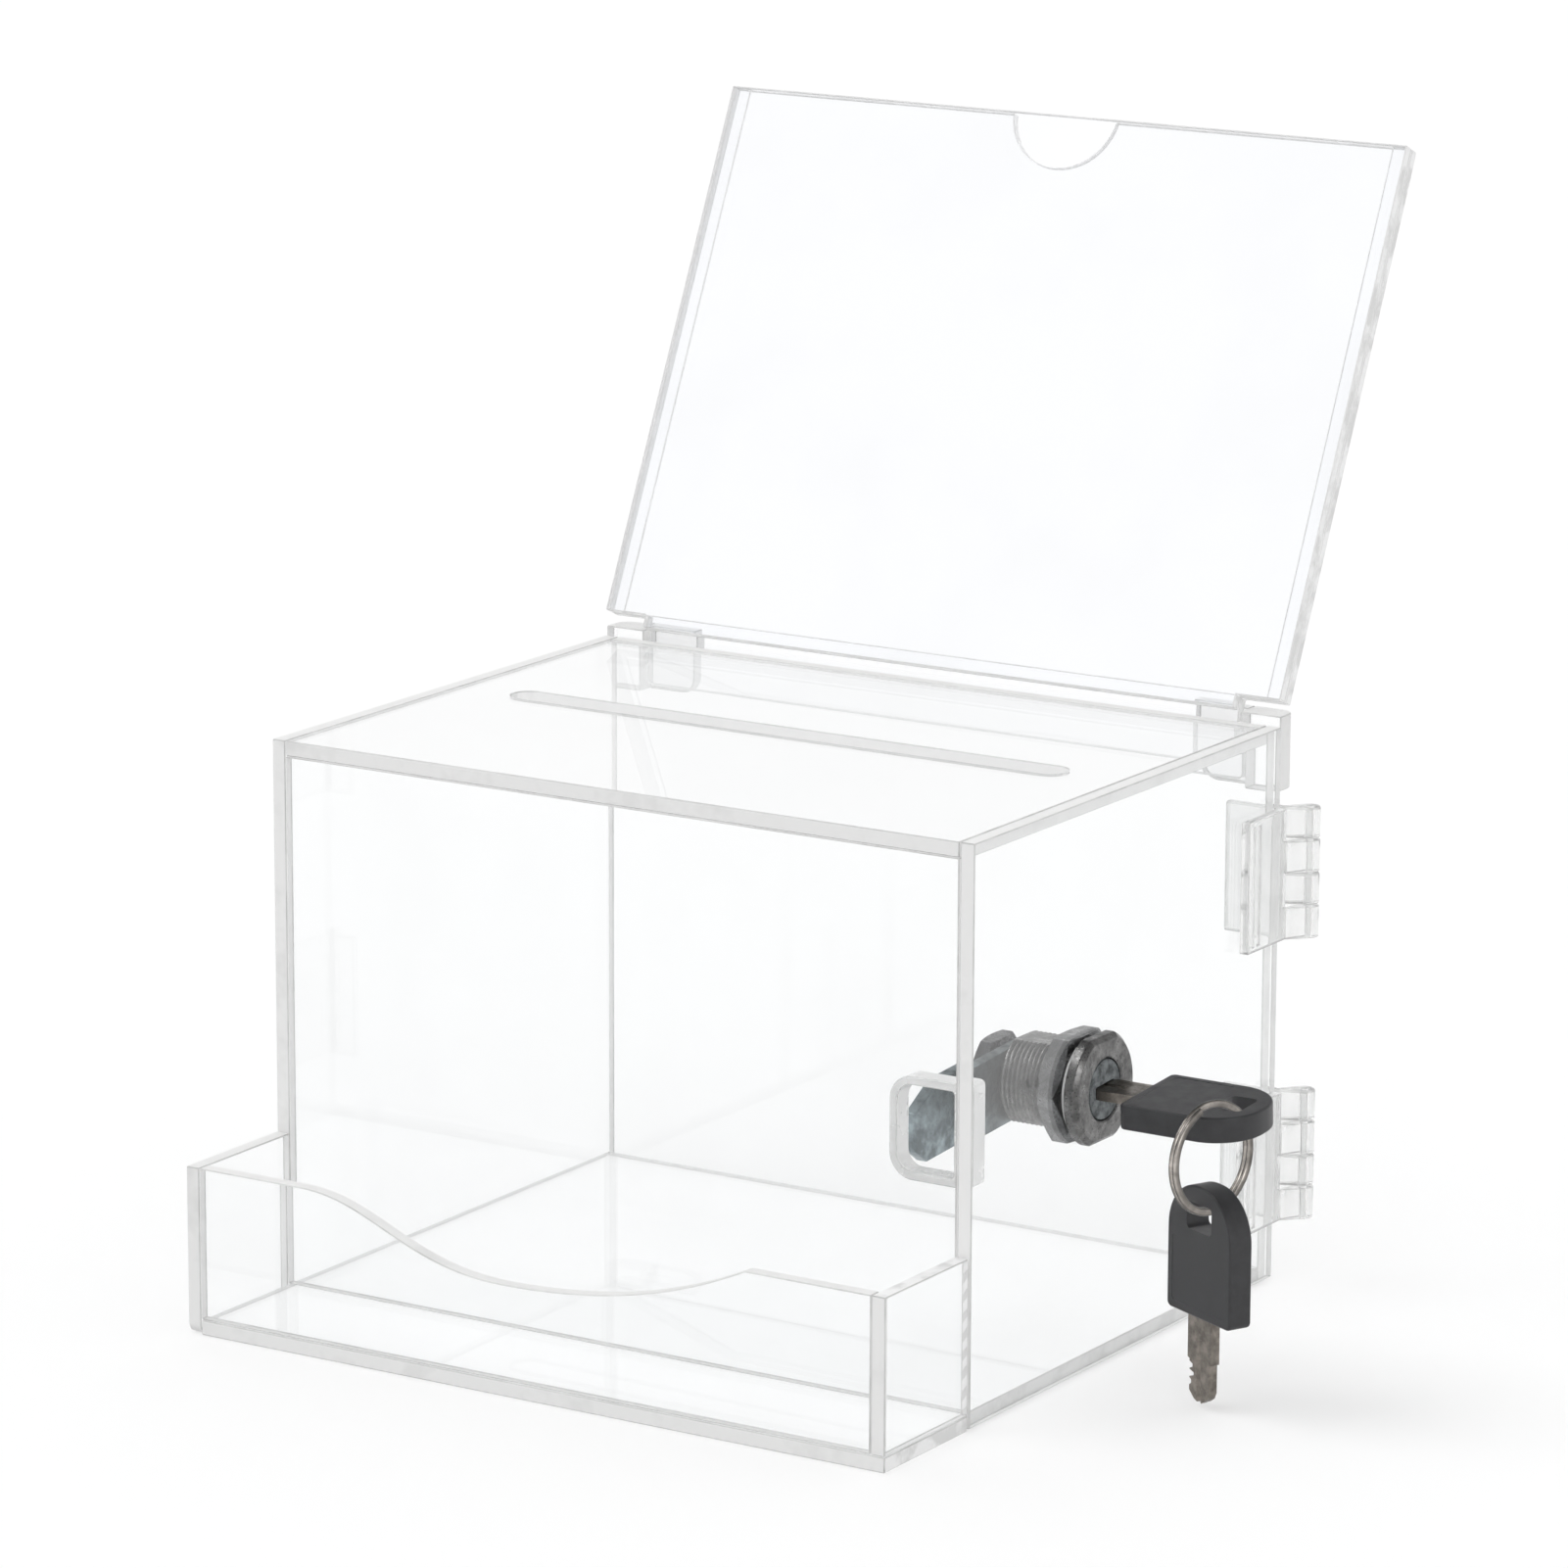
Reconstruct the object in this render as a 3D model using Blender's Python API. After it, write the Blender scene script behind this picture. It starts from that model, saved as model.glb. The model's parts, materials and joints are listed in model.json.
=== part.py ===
"""Suggestion box of clear acrylic, with a card tray, a locked side door and a sign holder.

The origin is the middle of the box's footprint, on the table. +X points to the side door,
+Y to the back and +Z up.
"""
import math

import bmesh
import bpy
from mathutils import Matrix, Vector
from mathutils.geometry import interpolate_bezier

# Box
box_width = 0.158
box_depth = 0.116
box_height = 0.112
sheet = 0.003
bond_gap = 0.0001
touch_gap = 0.0003
cut_overrun = 0.002
merge_distance = 0.000001

# Letter slot in the top panel
slot_from_sides = 0.0155
slot_width = 0.0073
slot_from_front = 0.0598

# Card tray
tray_depth = 0.0295
tray_height = 0.0334
tray_toe_radius = 0.002
tray_end_gap = 0.0004
wave_from_left = 0.024
wave_from_right = 0.0273
wave_depth = 0.0115
wave_low_share = 0.46
fall_handle_shares = (0.16, 0.24)
rise_handle_shares = ((0.72, 1.0), (0.88, 0.5))

# Side door
door_gap = 0.0003
door_lift = 0.0004

# Cam lock
lock_from_front = 0.044
lock_height = 0.056
lock_rest_turn = math.radians(3.5)
lock_head_radius = 0.01115
lock_head_across_flats = 0.0205
lock_head_thickness = 0.0028
lock_body_radius = 0.009
lock_body_across_flats = 0.016
lock_body_length = 0.0171
lock_hole_clearance = 0.0003
lock_nut_across_flats = 0.020
lock_nut_thickness = 0.0048
lock_nut_clearance = 0.0002
plug_radius = 0.006
plug_clearance = 0.0001
plug_recess = 0.0002
plug_stub_radius = 0.004
plug_stub_end = 0.0008
keyway_depth = 0.0122
keyway_clearance = 0.0002

# Cam, washer and end nut
cam_length = 0.034
cam_thickness = 0.0025
cam_above = 0.0065
cam_below = 0.008
cam_top_chamfer_run = 0.0085
cam_top_chamfer_drop = 0.0042
cam_toe_chamfer_run = 0.0035
cam_toe_chamfer_rise = 0.0028
cam_hole_clearance = 0.00015
washer_radius = 0.007
washer_thickness = 0.0009
end_nut_across_flats = 0.014
end_nut_thickness = 0.0033

# Strike loop on the front panel
strike_width = 0.0157
strike_height = 0.020
strike_depth = 0.0044
strike_wall = 0.0017
strike_round = 0.005
strike_small_round = 0.001
strike_below_lock = 0.0003

# Keys
key_head_length = 0.0255
key_head_width = 0.0205
key_head_thickness = 0.005
key_head_drop = 0.001
key_end_round = 0.0095
key_shoulder_round = 0.0012
key_hole_from_end = 0.006
key_hole_across = 0.008
key_hole_along = 0.0054
key_hole_round = 0.001
key_shown_neck = 0.0086
key_collar_width = 0.0077
key_collar_gap = 0.0002
key_blade_width = 0.0064
key_blade_thickness = 0.002
key_blade_length = 0.0165
key_tang_length = 0.008
key_tang_clearance = 0.00015
key_tip_chamfer = 0.0018
bitting_count = 4
bitting_shares = (0.25, 0.75)
bitting_depth = 0.0009

# Split ring
ring_radius = 0.011
ring_wire_radial = 0.0015
ring_wire_axial = 0.0018
ring_wire_round = 0.0005
ring_seat_gap = 0.00025
spare_key_seat_gap = 0.0001
ring_turn = math.radians(-13)
spare_key_turn = math.radians(-26)

# Hinges
hinge_height = 0.0263
upper_hinge_from_top = 0.0159
lower_hinge_bottom = 0.0125
hinge_leaf = 0.002
barrel_radius = 0.00225
barrel_from_door = 0.0042
barrel_from_rear = 0.0042
knuckle_count = 4
knuckle_gap = 0.0003
pin_radius = 0.00075
pin_clearance = 0.00006
pin_end_gap = 0.0001
door_leaf_length = 0.0148
door_leaf_inset = 0.001
rear_leaf_length = 0.0132

# Sign brackets on the rear panel
bracket_above_lid = 0.002
bracket_height = 0.015
bracket_block_width = 0.009
bracket_reach = 0.0205
bracket_plate = 0.0029
bracket_corner_round = 0.003
bracket_plate_round = 0.0035
tongue_front_gap = 0.00075
tongue_rear_gap = 0.00085

# Sign holder
sign_lean = math.radians(25)
sign_sheet = 0.002
sign_spacer = 0.0006
sign_height = 0.1136
sign_strip_width = 0.0038
sign_bottom_strip = 0.003
sign_foot = 0.0024
sign_middle_drop = 0.0027
sign_bend_radius = 0.002
sign_bend_steps = 5
tongue_side_gap = 0.0008
tongue_length = 0.012
tongue_round = 0.0015
thumb_radius = 0.012
thumb_depth = 0.0106

# Facets
round_segments = 48
small_segments = 24
ring_segments = 40
corner_steps = 5
wave_steps = 12
sharp_angle = math.radians(30)

# Places that follow from the sizes above
left = -box_width / 2
right = box_width / 2
body_right = right - sheet
front = -box_depth / 2
rear = box_depth / 2
inner_left = left + sheet + bond_gap
inner_right = body_right - bond_gap
tray_front = front - tray_depth
door_outer = right + door_gap
door_inner = door_outer - sheet
lock_y = front + lock_from_front
lock_z = lock_height
lock_axis = Vector((0, lock_y, lock_z))
lock_turned = (
    Matrix.Translation(lock_axis)
    @ Matrix.Rotation(lock_rest_turn, 4, "X")
    @ Matrix.Translation(-lock_axis)
)
lock_head_back = door_outer + bond_gap
lock_face = lock_head_back + lock_head_thickness
lock_body_end = lock_head_back - lock_body_length
plug_face = lock_face - plug_recess
plug_end = lock_body_end - bond_gap
cam_right = plug_end - touch_gap
cam_left = cam_right - cam_thickness
washer_right = cam_left - bond_gap
washer_left = washer_right - washer_thickness
end_nut_right = washer_left - bond_gap
end_nut_left = end_nut_right - end_nut_thickness
stub_end = end_nut_left - plug_stub_end
hinge_x = door_outer + barrel_from_door
hinge_y = rear + barrel_from_rear
key_head_inner = lock_face + key_shown_neck
key_hole_x = key_head_inner + key_head_length - key_hole_from_end
ring_inner = ring_radius - ring_wire_radial
ring_middle = ring_radius - ring_wire_radial / 2
upper_hinge_bottom = box_height - upper_hinge_from_top - hinge_height
bracket_front_y = rear + bond_gap
bracket_top = box_height + bracket_above_lid
bracket_bottom = bracket_top - bracket_height
tongue_front_y = rear + tongue_front_gap
tongue_rear_y = tongue_front_y + sign_sheet
plate_front_y = tongue_rear_y + tongue_rear_gap
plate_rear_y = plate_front_y + bracket_plate


def clear_scene():
    for item in list(bpy.data.objects):
        bpy.data.objects.remove(item, do_unlink=True)


def make_material(name, colour, roughness, metallic=0.0, alpha=1.0):
    material = bpy.data.materials.new(name)
    material.use_nodes = True
    shader = material.node_tree.nodes["Principled BSDF"]
    shader.inputs["Base Color"].default_value = (*colour, 1.0)
    shader.inputs["Roughness"].default_value = roughness
    shader.inputs["Metallic"].default_value = metallic
    shader.inputs["Alpha"].default_value = alpha
    material.diffuse_color = (*colour, alpha)
    return material


def clear_acrylic(name):
    return make_material(name + "_acrylic", (0.93, 0.95, 0.95), 0.05, alpha=0.35)


def hinge_plastic(name):
    return make_material(name + "_plastic", (0.85, 0.87, 0.87), 0.12, alpha=0.5)


def satin_zinc(name):
    return make_material(name + "_zinc", (0.42, 0.42, 0.43), 0.35, metallic=1.0)


def dark_steel(name):
    return make_material(name + "_steel", (0.16, 0.17, 0.19), 0.4, metallic=1.0)


def nickel(name):
    return make_material(name + "_nickel", (0.55, 0.53, 0.5), 0.25, metallic=1.0)


def black_plastic(name):
    return make_material(name + "_plastic", (0.035, 0.037, 0.042), 0.5)


def ride_on(item, carrier):
    """Parent an item to its carrier without moving it."""
    item.parent = carrier
    item.matrix_parent_inverse = carrier.matrix_basis.inverted()


def add_pivot(name, place, carrier=None):
    """An empty on a joint's axis, which carries the pieces that move with that joint."""
    pivot = bpy.data.objects.new(name, None)
    pivot.empty_display_size = ring_radius
    pivot.location = place
    bpy.context.collection.objects.link(pivot)
    if carrier is not None:
        ride_on(pivot, carrier)
    return pivot


def add_piece(name, shape, finish, carrier=None, smooth=True):
    """Turn a bmesh in world coordinates into a named object."""
    bmesh.ops.recalc_face_normals(shape, faces=shape.faces)
    mesh = bpy.data.meshes.new(name)
    shape.to_mesh(mesh)
    shape.free()
    if smooth:
        mesh.shade_smooth()
        mesh.set_sharp_from_angle(angle=sharp_angle)
    piece = bpy.data.objects.new(name, mesh)
    piece.data.materials.append(finish(name))
    bpy.context.collection.objects.link(piece)
    if carrier is not None:
        ride_on(piece, carrier)
    return piece


def use_tool(piece, label, shape, operation="DIFFERENCE"):
    """Cut a shape out of a piece, or join it on, with a hidden tool object."""
    bmesh.ops.recalc_face_normals(shape, faces=shape.faces)
    mesh = bpy.data.meshes.new(piece.name + "_" + label)
    shape.to_mesh(mesh)
    shape.free()
    tool = bpy.data.objects.new(piece.name + "_" + label, mesh)
    bpy.context.collection.objects.link(tool)
    tool.hide_render = True
    tool.display_type = "WIRE"
    ride_on(tool, piece)
    change = piece.modifiers.new(label, "BOOLEAN")
    change.operation = operation
    change.solver = "EXACT"
    change.object = tool


def block(low, high):
    """A box between two corners."""
    shape = bmesh.new()
    low = Vector(low)
    high = Vector(high)
    middle = (low + high) / 2
    size = high - low
    bmesh.ops.create_cube(shape, size=1, matrix=Matrix.LocRotScale(middle, None, size))
    return shape


def prism(outline, plane, start, end):
    """Extrude a flat outline in the XY, XZ or YZ plane from start to end along the third axis."""
    placers = {
        "XY": lambda a, b, depth: Vector((a, b, depth)),
        "XZ": lambda a, b, depth: Vector((a, depth, b)),
        "YZ": lambda a, b, depth: Vector((depth, a, b)),
    }
    place = placers[plane]
    shape = bmesh.new()
    corners = [shape.verts.new(place(a, b, start)) for a, b in outline]
    face = shape.faces.new(corners)
    grown = bmesh.ops.extrude_face_region(shape, geom=[face])
    moved = [item for item in grown["geom"] if isinstance(item, bmesh.types.BMVert)]
    bmesh.ops.translate(shape, verts=moved, vec=place(0, 0, end) - place(0, 0, start))
    return shape


def rod(axis, centre, radius, start, end, segments=round_segments):
    """A closed cylinder along X or Z, given its centre in the other two coordinates."""
    shape = bmesh.new()
    middle = (start + end) / 2
    if axis == "X":
        place = Vector((middle, centre[0], centre[1]))
        turn = Matrix.Rotation(math.pi / 2, 4, "Y")
    else:
        place = Vector((centre[0], centre[1], middle))
        turn = Matrix.Identity(4)
    bmesh.ops.create_cone(
        shape,
        cap_ends=True,
        segments=segments,
        radius1=radius,
        radius2=radius,
        depth=abs(end - start),
        matrix=Matrix.Translation(place) @ turn,
    )
    return shape


def turned(shape, matrix):
    bmesh.ops.transform(shape, matrix=matrix, verts=shape.verts)
    return shape


def rounded_outline(corners):
    """Corners as (a, b, radius), in order, with an arc at each corner that has a radius."""
    points = []
    total = len(corners)
    for index, (a, b, radius) in enumerate(corners):
        here = Vector((a, b))
        if radius <= 0:
            points.append((a, b))
            continue
        before = Vector(corners[index - 1][:2])
        after = Vector(corners[(index + 1) % total][:2])
        back = (before - here).normalized()
        ahead = (after - here).normalized()
        half_angle = back.angle(ahead) / 2
        reach = radius / math.tan(half_angle)
        centre = here + (back + ahead).normalized() * (radius / math.sin(half_angle))
        first = here + back * reach - centre
        last = here + ahead * reach - centre
        sweep = first.angle_signed(last)
        for step in range(corner_steps + 1):
            share = step / corner_steps
            arm = first.copy()
            arm.rotate(Matrix.Rotation(-sweep * share, 2))
            points.append(tuple(centre + arm))
    spaced = []
    for index, point in enumerate(points):
        if (Vector(point) - Vector(points[index - 1])).length > merge_distance:
            spaced.append(point)
    return spaced


def hexagon(centre, across_flats):
    """A hexagon with two corners level with its centre."""
    radius = across_flats / math.sqrt(3)
    turns = [math.radians(60) * step for step in range(6)]
    return [(centre[0] + radius * math.cos(t), centre[1] + radius * math.sin(t)) for t in turns]


def flatted_circle(centre, radius, across_flats):
    """A circle with a flat at its top and its bottom."""
    half = across_flats / 2
    points = []
    for step in range(round_segments):
        turn = 2 * math.pi * (step + 0.5) / round_segments
        height = max(-half, min(half, radius * math.sin(turn)))
        if abs(height) < half:
            points.append((centre[0] + radius * math.cos(turn), centre[1] + height))
    side = math.sqrt(radius * radius - half * half)
    corners = [(side, half), (-side, half), (-side, -half), (side, -half)]
    points += [(centre[0] + a, centre[1] + b) for a, b in corners]
    points.sort(key=lambda point: math.atan2(point[1] - centre[1], point[0] - centre[0]))
    return points


def build_case():
    """Panels of the box, all bonded edge to edge."""
    tray_right_end = front - tray_end_gap
    plate_outline = [
        (inner_left, tray_front),
        (right, tray_front),
        (right, tray_right_end),
        (body_right, tray_right_end),
        (body_right, rear - sheet - bond_gap),
        (inner_left, rear - sheet - bond_gap),
    ]
    add_piece("bottom_plate", prism(plate_outline, "XY", 0, sheet), clear_acrylic)
    panel_foot = sheet + bond_gap
    lid_bottom = box_height - sheet
    add_piece(
        "left_panel",
        block((left, front, 0), (left + sheet, rear, box_height)),
        clear_acrylic,
    )
    add_piece(
        "front_panel",
        block((inner_left, front, panel_foot), (body_right, front + sheet, lid_bottom - bond_gap)),
        clear_acrylic,
    )
    add_piece(
        "rear_panel",
        block((inner_left, rear - sheet, 0), (body_right, rear, box_height)),
        clear_acrylic,
    )
    top = add_piece(
        "top_panel",
        block((inner_left, front, lid_bottom), (body_right, rear - sheet - bond_gap, box_height)),
        clear_acrylic,
    )
    slot_y = front + slot_from_front
    slot_end = right - slot_from_sides
    half = slot_width / 2
    slot = rounded_outline([
        (-slot_end, slot_y - half, half),
        (slot_end, slot_y - half, half),
        (slot_end, slot_y + half, half),
        (-slot_end, slot_y + half, half),
    ])
    slot_tool = prism(slot, "XY", lid_bottom - cut_overrun, box_height + cut_overrun)
    use_tool(top, "letter_slot", slot_tool)


def wave_points():
    """The wavy dip of the tray's front edge, from left to right."""
    def place(length_share, depth_share):
        start = inner_left + wave_from_left
        length = inner_right - wave_from_right - start
        return Vector((start + length * length_share, tray_height - wave_depth * depth_share, 0))

    low = place(wave_low_share, 1)
    fall = interpolate_bezier(
        place(0, 0),
        place(fall_handle_shares[0], 0),
        place(fall_handle_shares[1], 1),
        low,
        wave_steps,
    )
    rise = interpolate_bezier(
        low,
        place(*rise_handle_shares[0]),
        place(*rise_handle_shares[1]),
        place(1, 0),
        wave_steps,
    )
    return [(point.x, point.y) for point in fall + rise[1:]]


def build_tray():
    """The open card tray in front of the box."""
    foot = sheet + bond_gap
    left_end = rounded_outline([
        (tray_front, 0, tray_toe_radius),
        (front - bond_gap, 0, 0),
        (front - bond_gap, tray_height, 0),
        (tray_front, tray_height, 0),
    ])
    add_piece("tray_left_end", prism(left_end, "YZ", left, left + sheet), clear_acrylic)
    add_piece(
        "tray_right_end",
        block((body_right, tray_front, foot), (right, front - tray_end_gap, tray_height)),
        clear_acrylic,
    )
    face = [(inner_left, foot), (inner_left, tray_height)]
    face += wave_points()
    face += [(inner_right, tray_height), (inner_right, foot)]
    add_piece(
        "tray_front",
        prism(face, "XZ", tray_front, tray_front + sheet),
        clear_acrylic,
        smooth=False,
    )


def build_strike():
    """The loop on the front panel's inner face, next to the lock's cam."""
    middle = lock_z - strike_below_lock
    low = middle - strike_height / 2
    high = middle + strike_height / 2
    near = inner_right - strike_width
    strike_front = front + sheet + bond_gap
    inner_round = strike_round - strike_wall
    outline = rounded_outline([
        (near, low, strike_round),
        (inner_right, low, strike_small_round),
        (inner_right, high, strike_small_round),
        (near, high, strike_round),
    ])
    hollow = rounded_outline([
        (near + strike_wall, low + strike_wall, inner_round),
        (inner_right - strike_wall, low + strike_wall, 0),
        (inner_right - strike_wall, high - strike_wall, 0),
        (near + strike_wall, high - strike_wall, inner_round),
    ])
    strike = add_piece(
        "lock_strike",
        prism(outline, "XZ", strike_front, strike_front + strike_depth),
        clear_acrylic,
    )
    hollow_tool = prism(
        hollow,
        "XZ",
        strike_front - cut_overrun,
        strike_front + strike_depth + cut_overrun,
    )
    use_tool(strike, "hollow", hollow_tool)


def build_door(door_pivot):
    """The side door, with the lock's hole in it."""
    door = add_piece(
        "side_door",
        block((door_inner, front, door_lift), (door_outer, rear, box_height)),
        clear_acrylic,
        door_pivot,
    )
    hole = flatted_circle(
        (lock_y, lock_z),
        lock_body_radius + lock_hole_clearance,
        lock_body_across_flats + 2 * lock_hole_clearance,
    )
    use_tool(
        door,
        "lock_hole",
        prism(hole, "YZ", door_inner - cut_overrun, door_outer + cut_overrun),
    )


def build_lock(door_pivot, lock_pivot):
    """The cam lock: housing and nut on the door, plug, cam, washer and end nut that turn."""
    centre = (lock_y, lock_z)
    head = flatted_circle(centre, lock_head_radius, lock_head_across_flats)
    body = flatted_circle(centre, lock_body_radius, lock_body_across_flats)
    housing = add_piece(
        "lock_housing",
        prism(head, "YZ", lock_head_back, lock_face),
        satin_zinc,
        door_pivot,
    )
    body_start = lock_head_back + lock_head_thickness / 2
    use_tool(housing, "body", prism(body, "YZ", lock_body_end, body_start), "UNION")
    use_tool(
        housing,
        "plug_bore",
        rod("X", centre, plug_radius + plug_clearance, lock_body_end - cut_overrun,
            lock_face + cut_overrun),
    )
    nut_right = door_inner - bond_gap
    nut_left = nut_right - lock_nut_thickness
    nut = add_piece(
        "lock_nut",
        prism(hexagon(centre, lock_nut_across_flats), "YZ", nut_left, nut_right),
        dark_steel,
        door_pivot,
    )
    use_tool(
        nut,
        "bore",
        rod("X", centre, lock_body_radius + lock_nut_clearance, nut_left - cut_overrun,
            nut_right + cut_overrun),
    )
    plug = add_piece(
        "lock_plug",
        turned(rod("X", centre, plug_radius, plug_end, plug_face), lock_turned),
        satin_zinc,
        lock_pivot,
    )
    stub = rod("X", centre, plug_stub_radius, stub_end, plug_end + cut_overrun, small_segments)
    use_tool(plug, "stub", turned(stub, lock_turned), "UNION")
    half_width = key_blade_width / 2 + keyway_clearance
    half_height = key_blade_thickness / 2 + keyway_clearance
    keyway = block(
        (plug_face - keyway_depth, lock_y - half_width, lock_z - half_height),
        (plug_face + cut_overrun, lock_y + half_width, lock_z + half_height),
    )
    use_tool(plug, "keyway", turned(keyway, lock_turned))
    build_cam(lock_pivot)


def build_cam(lock_pivot):
    """The cam and what holds it on the plug's stub."""
    centre = (lock_y, lock_z)
    bore_radius = plug_stub_radius + cam_hole_clearance
    top = lock_z + cam_above
    bottom = lock_z - cam_below
    tip = lock_y - cam_length
    heel_radius = (top - bottom) / 2
    heel_middle = (top + bottom) / 2
    outline = [
        (tip, bottom + cam_toe_chamfer_rise),
        (tip + cam_toe_chamfer_run, bottom),
    ]
    for step in range(small_segments // 2 + 1):
        turn = math.pi * step / (small_segments // 2) - math.pi / 2
        outline.append((
            lock_y + heel_radius * math.cos(turn),
            heel_middle + heel_radius * math.sin(turn),
        ))
    outline += [
        (tip + cam_top_chamfer_run, top),
        (tip, top - cam_top_chamfer_drop),
    ]
    cam = add_piece(
        "lock_cam",
        turned(prism(outline, "YZ", cam_left, cam_right), lock_turned),
        dark_steel,
        lock_pivot,
    )
    washer = add_piece(
        "cam_washer",
        turned(rod("X", centre, washer_radius, washer_left, washer_right), lock_turned),
        satin_zinc,
        lock_pivot,
    )
    nut_outline = hexagon(centre, end_nut_across_flats)
    nut = add_piece(
        "cam_nut",
        turned(prism(nut_outline, "YZ", end_nut_left, end_nut_right), lock_turned),
        dark_steel,
        lock_pivot,
    )
    for piece, start, end in (
        (cam, cam_left, cam_right),
        (washer, washer_left, washer_right),
        (nut, end_nut_left, end_nut_right),
    ):
        bore = rod("X", centre, bore_radius, start - cut_overrun, end + cut_overrun, small_segments)
        use_tool(piece, "bore", turned(bore, lock_turned))


def key_shapes():
    """A key's head, its hole, its tang pocket and its blade, flat in XY.

    The hole's centre is at the origin and the blade points to -X.
    """
    outer = key_hole_from_end
    inner = outer - key_head_length
    half_width = key_head_width / 2
    head_top = key_head_thickness / 2 - key_head_drop
    head_bottom = head_top - key_head_thickness
    head = rounded_outline([
        (inner, -half_width, key_shoulder_round),
        (outer, -half_width, key_end_round),
        (outer, half_width, key_end_round),
        (inner, half_width, key_shoulder_round),
    ])
    across = key_hole_across / 2
    along = key_hole_along / 2
    hole = rounded_outline([
        (-along, -across, key_hole_round),
        (along, -across, key_hole_round),
        (along, across, key_hole_round),
        (-along, across, key_hole_round),
    ])
    tang_half = key_collar_width / 2
    blade_half = key_blade_width / 2
    collar_end = inner - key_shown_neck + key_collar_gap
    tip = inner - key_blade_length
    blade = [
        (inner + key_tang_length, -tang_half),
        (inner + key_tang_length, tang_half),
        (collar_end, tang_half),
        (collar_end, blade_half),
        (tip + key_tip_chamfer, blade_half),
        (tip, blade_half - key_tip_chamfer),
        (tip, key_tip_chamfer - blade_half),
        (tip + key_tip_chamfer, -blade_half),
    ]
    cut_start = tip + 2 * key_tip_chamfer
    pitch = (collar_end - cut_start) / bitting_count
    for step in range(bitting_count):
        blade.append((cut_start + pitch * (step + bitting_shares[0]), bitting_depth - blade_half))
        blade.append((cut_start + pitch * (step + bitting_shares[1]), -blade_half))
    blade += [(collar_end, -blade_half), (collar_end, -tang_half)]
    pocket_half = key_blade_thickness / 2 + key_tang_clearance
    pocket = block(
        (inner - cut_overrun, -tang_half - key_tang_clearance, -pocket_half),
        (inner + key_tang_length + key_tang_clearance, tang_half + key_tang_clearance, pocket_half),
    )
    return {
        "head": prism(head, "XY", head_bottom, head_top),
        "hole": prism(hole, "XY", head_bottom - cut_overrun, head_top + cut_overrun),
        "pocket": pocket,
        "blade": prism(blade, "XY", -key_blade_thickness / 2, key_blade_thickness / 2),
    }


def build_key(prefix, placement, carrier):
    """A key with a plastic head over a steel blade."""
    shapes = key_shapes()
    for label in shapes:
        turned(shapes[label], placement)
    head = add_piece(prefix + "key_head", shapes["head"], black_plastic, carrier)
    use_tool(head, "hole", shapes["hole"])
    use_tool(head, "pocket", shapes["pocket"])
    add_piece(prefix + "key_blade", shapes["blade"], nickel, carrier)


def ring_centre():
    """Where the ring hangs: over the head's web, between the hole and the front edge."""
    hole_reach = key_hole_across / 2
    web_half = (key_head_width / 2 - hole_reach) / 2
    web_reach = web_half / math.cos(ring_turn)
    seat_radius = ring_inner - ring_seat_gap
    drop = math.sqrt(seat_radius * seat_radius - web_reach * web_reach)
    under_head = drop - key_head_thickness
    far_reach = math.sqrt(ring_radius * ring_radius - under_head * under_head)
    setback = (web_reach + far_reach) / 2 * math.sin(ring_turn)
    level = key_head_thickness / 2 - key_head_drop - drop
    nominal = Vector((key_hole_x + setback, lock_y - hole_reach - web_half, lock_z + level))
    pivot_rise = math.sqrt(ring_middle * ring_middle - web_reach * web_reach)
    return lock_turned @ nominal, pivot_rise


def build_ring(centre, carrier):
    """The split ring, as one closed ring that stands upright in the key's hole."""
    half_axial = ring_wire_axial / 2
    section = rounded_outline([
        (-half_axial, ring_inner, ring_wire_round),
        (half_axial, ring_inner, ring_wire_round),
        (half_axial, ring_radius, ring_wire_round),
        (-half_axial, ring_radius, ring_wire_round),
    ])
    shape = bmesh.new()
    points = [shape.verts.new((centre.x + a, centre.y, centre.z + b)) for a, b in section]
    edges = [
        shape.edges.new((points[index - 1], points[index]))
        for index in range(len(points))
    ]
    bmesh.ops.spin(
        shape,
        geom=points + edges,
        cent=centre,
        axis=(1, 0, 0),
        angle=2 * math.pi,
        steps=ring_segments,
        use_merge=True,
    )
    stand = Matrix.Translation(centre) @ Matrix.Rotation(ring_turn, 4, "Z")
    turned(shape, stand @ Matrix.Translation(-centre))
    add_piece("split_ring", shape, nickel, carrier)


def tangent_turn(point, centre, side):
    """The angle on the barrel at which a line from an outside point touches it."""
    arm = Vector(point) - Vector(centre)
    return math.atan2(arm.y, arm.x) + side * math.acos(barrel_radius / arm.length)


def knuckle_outline(root_inner, root_outer, inner, outer, side):
    """The web and barrel of one knuckle, seen from above.

    Inner and outer are the leaf's two corners at the web; the roots lie inside the leaf.
    """
    centre = (hinge_x, hinge_y)
    start = tangent_turn(outer, centre, side)
    end = tangent_turn(inner, centre, -side)
    sweep = (end - start) * side % (2 * math.pi)
    points = [root_inner, root_outer, outer]
    for step in range(small_segments + 1):
        turn = start + side * sweep * step / small_segments
        points.append((
            hinge_x + barrel_radius * math.cos(turn),
            hinge_y + barrel_radius * math.sin(turn),
        ))
    points.append(inner)
    return points


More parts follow.
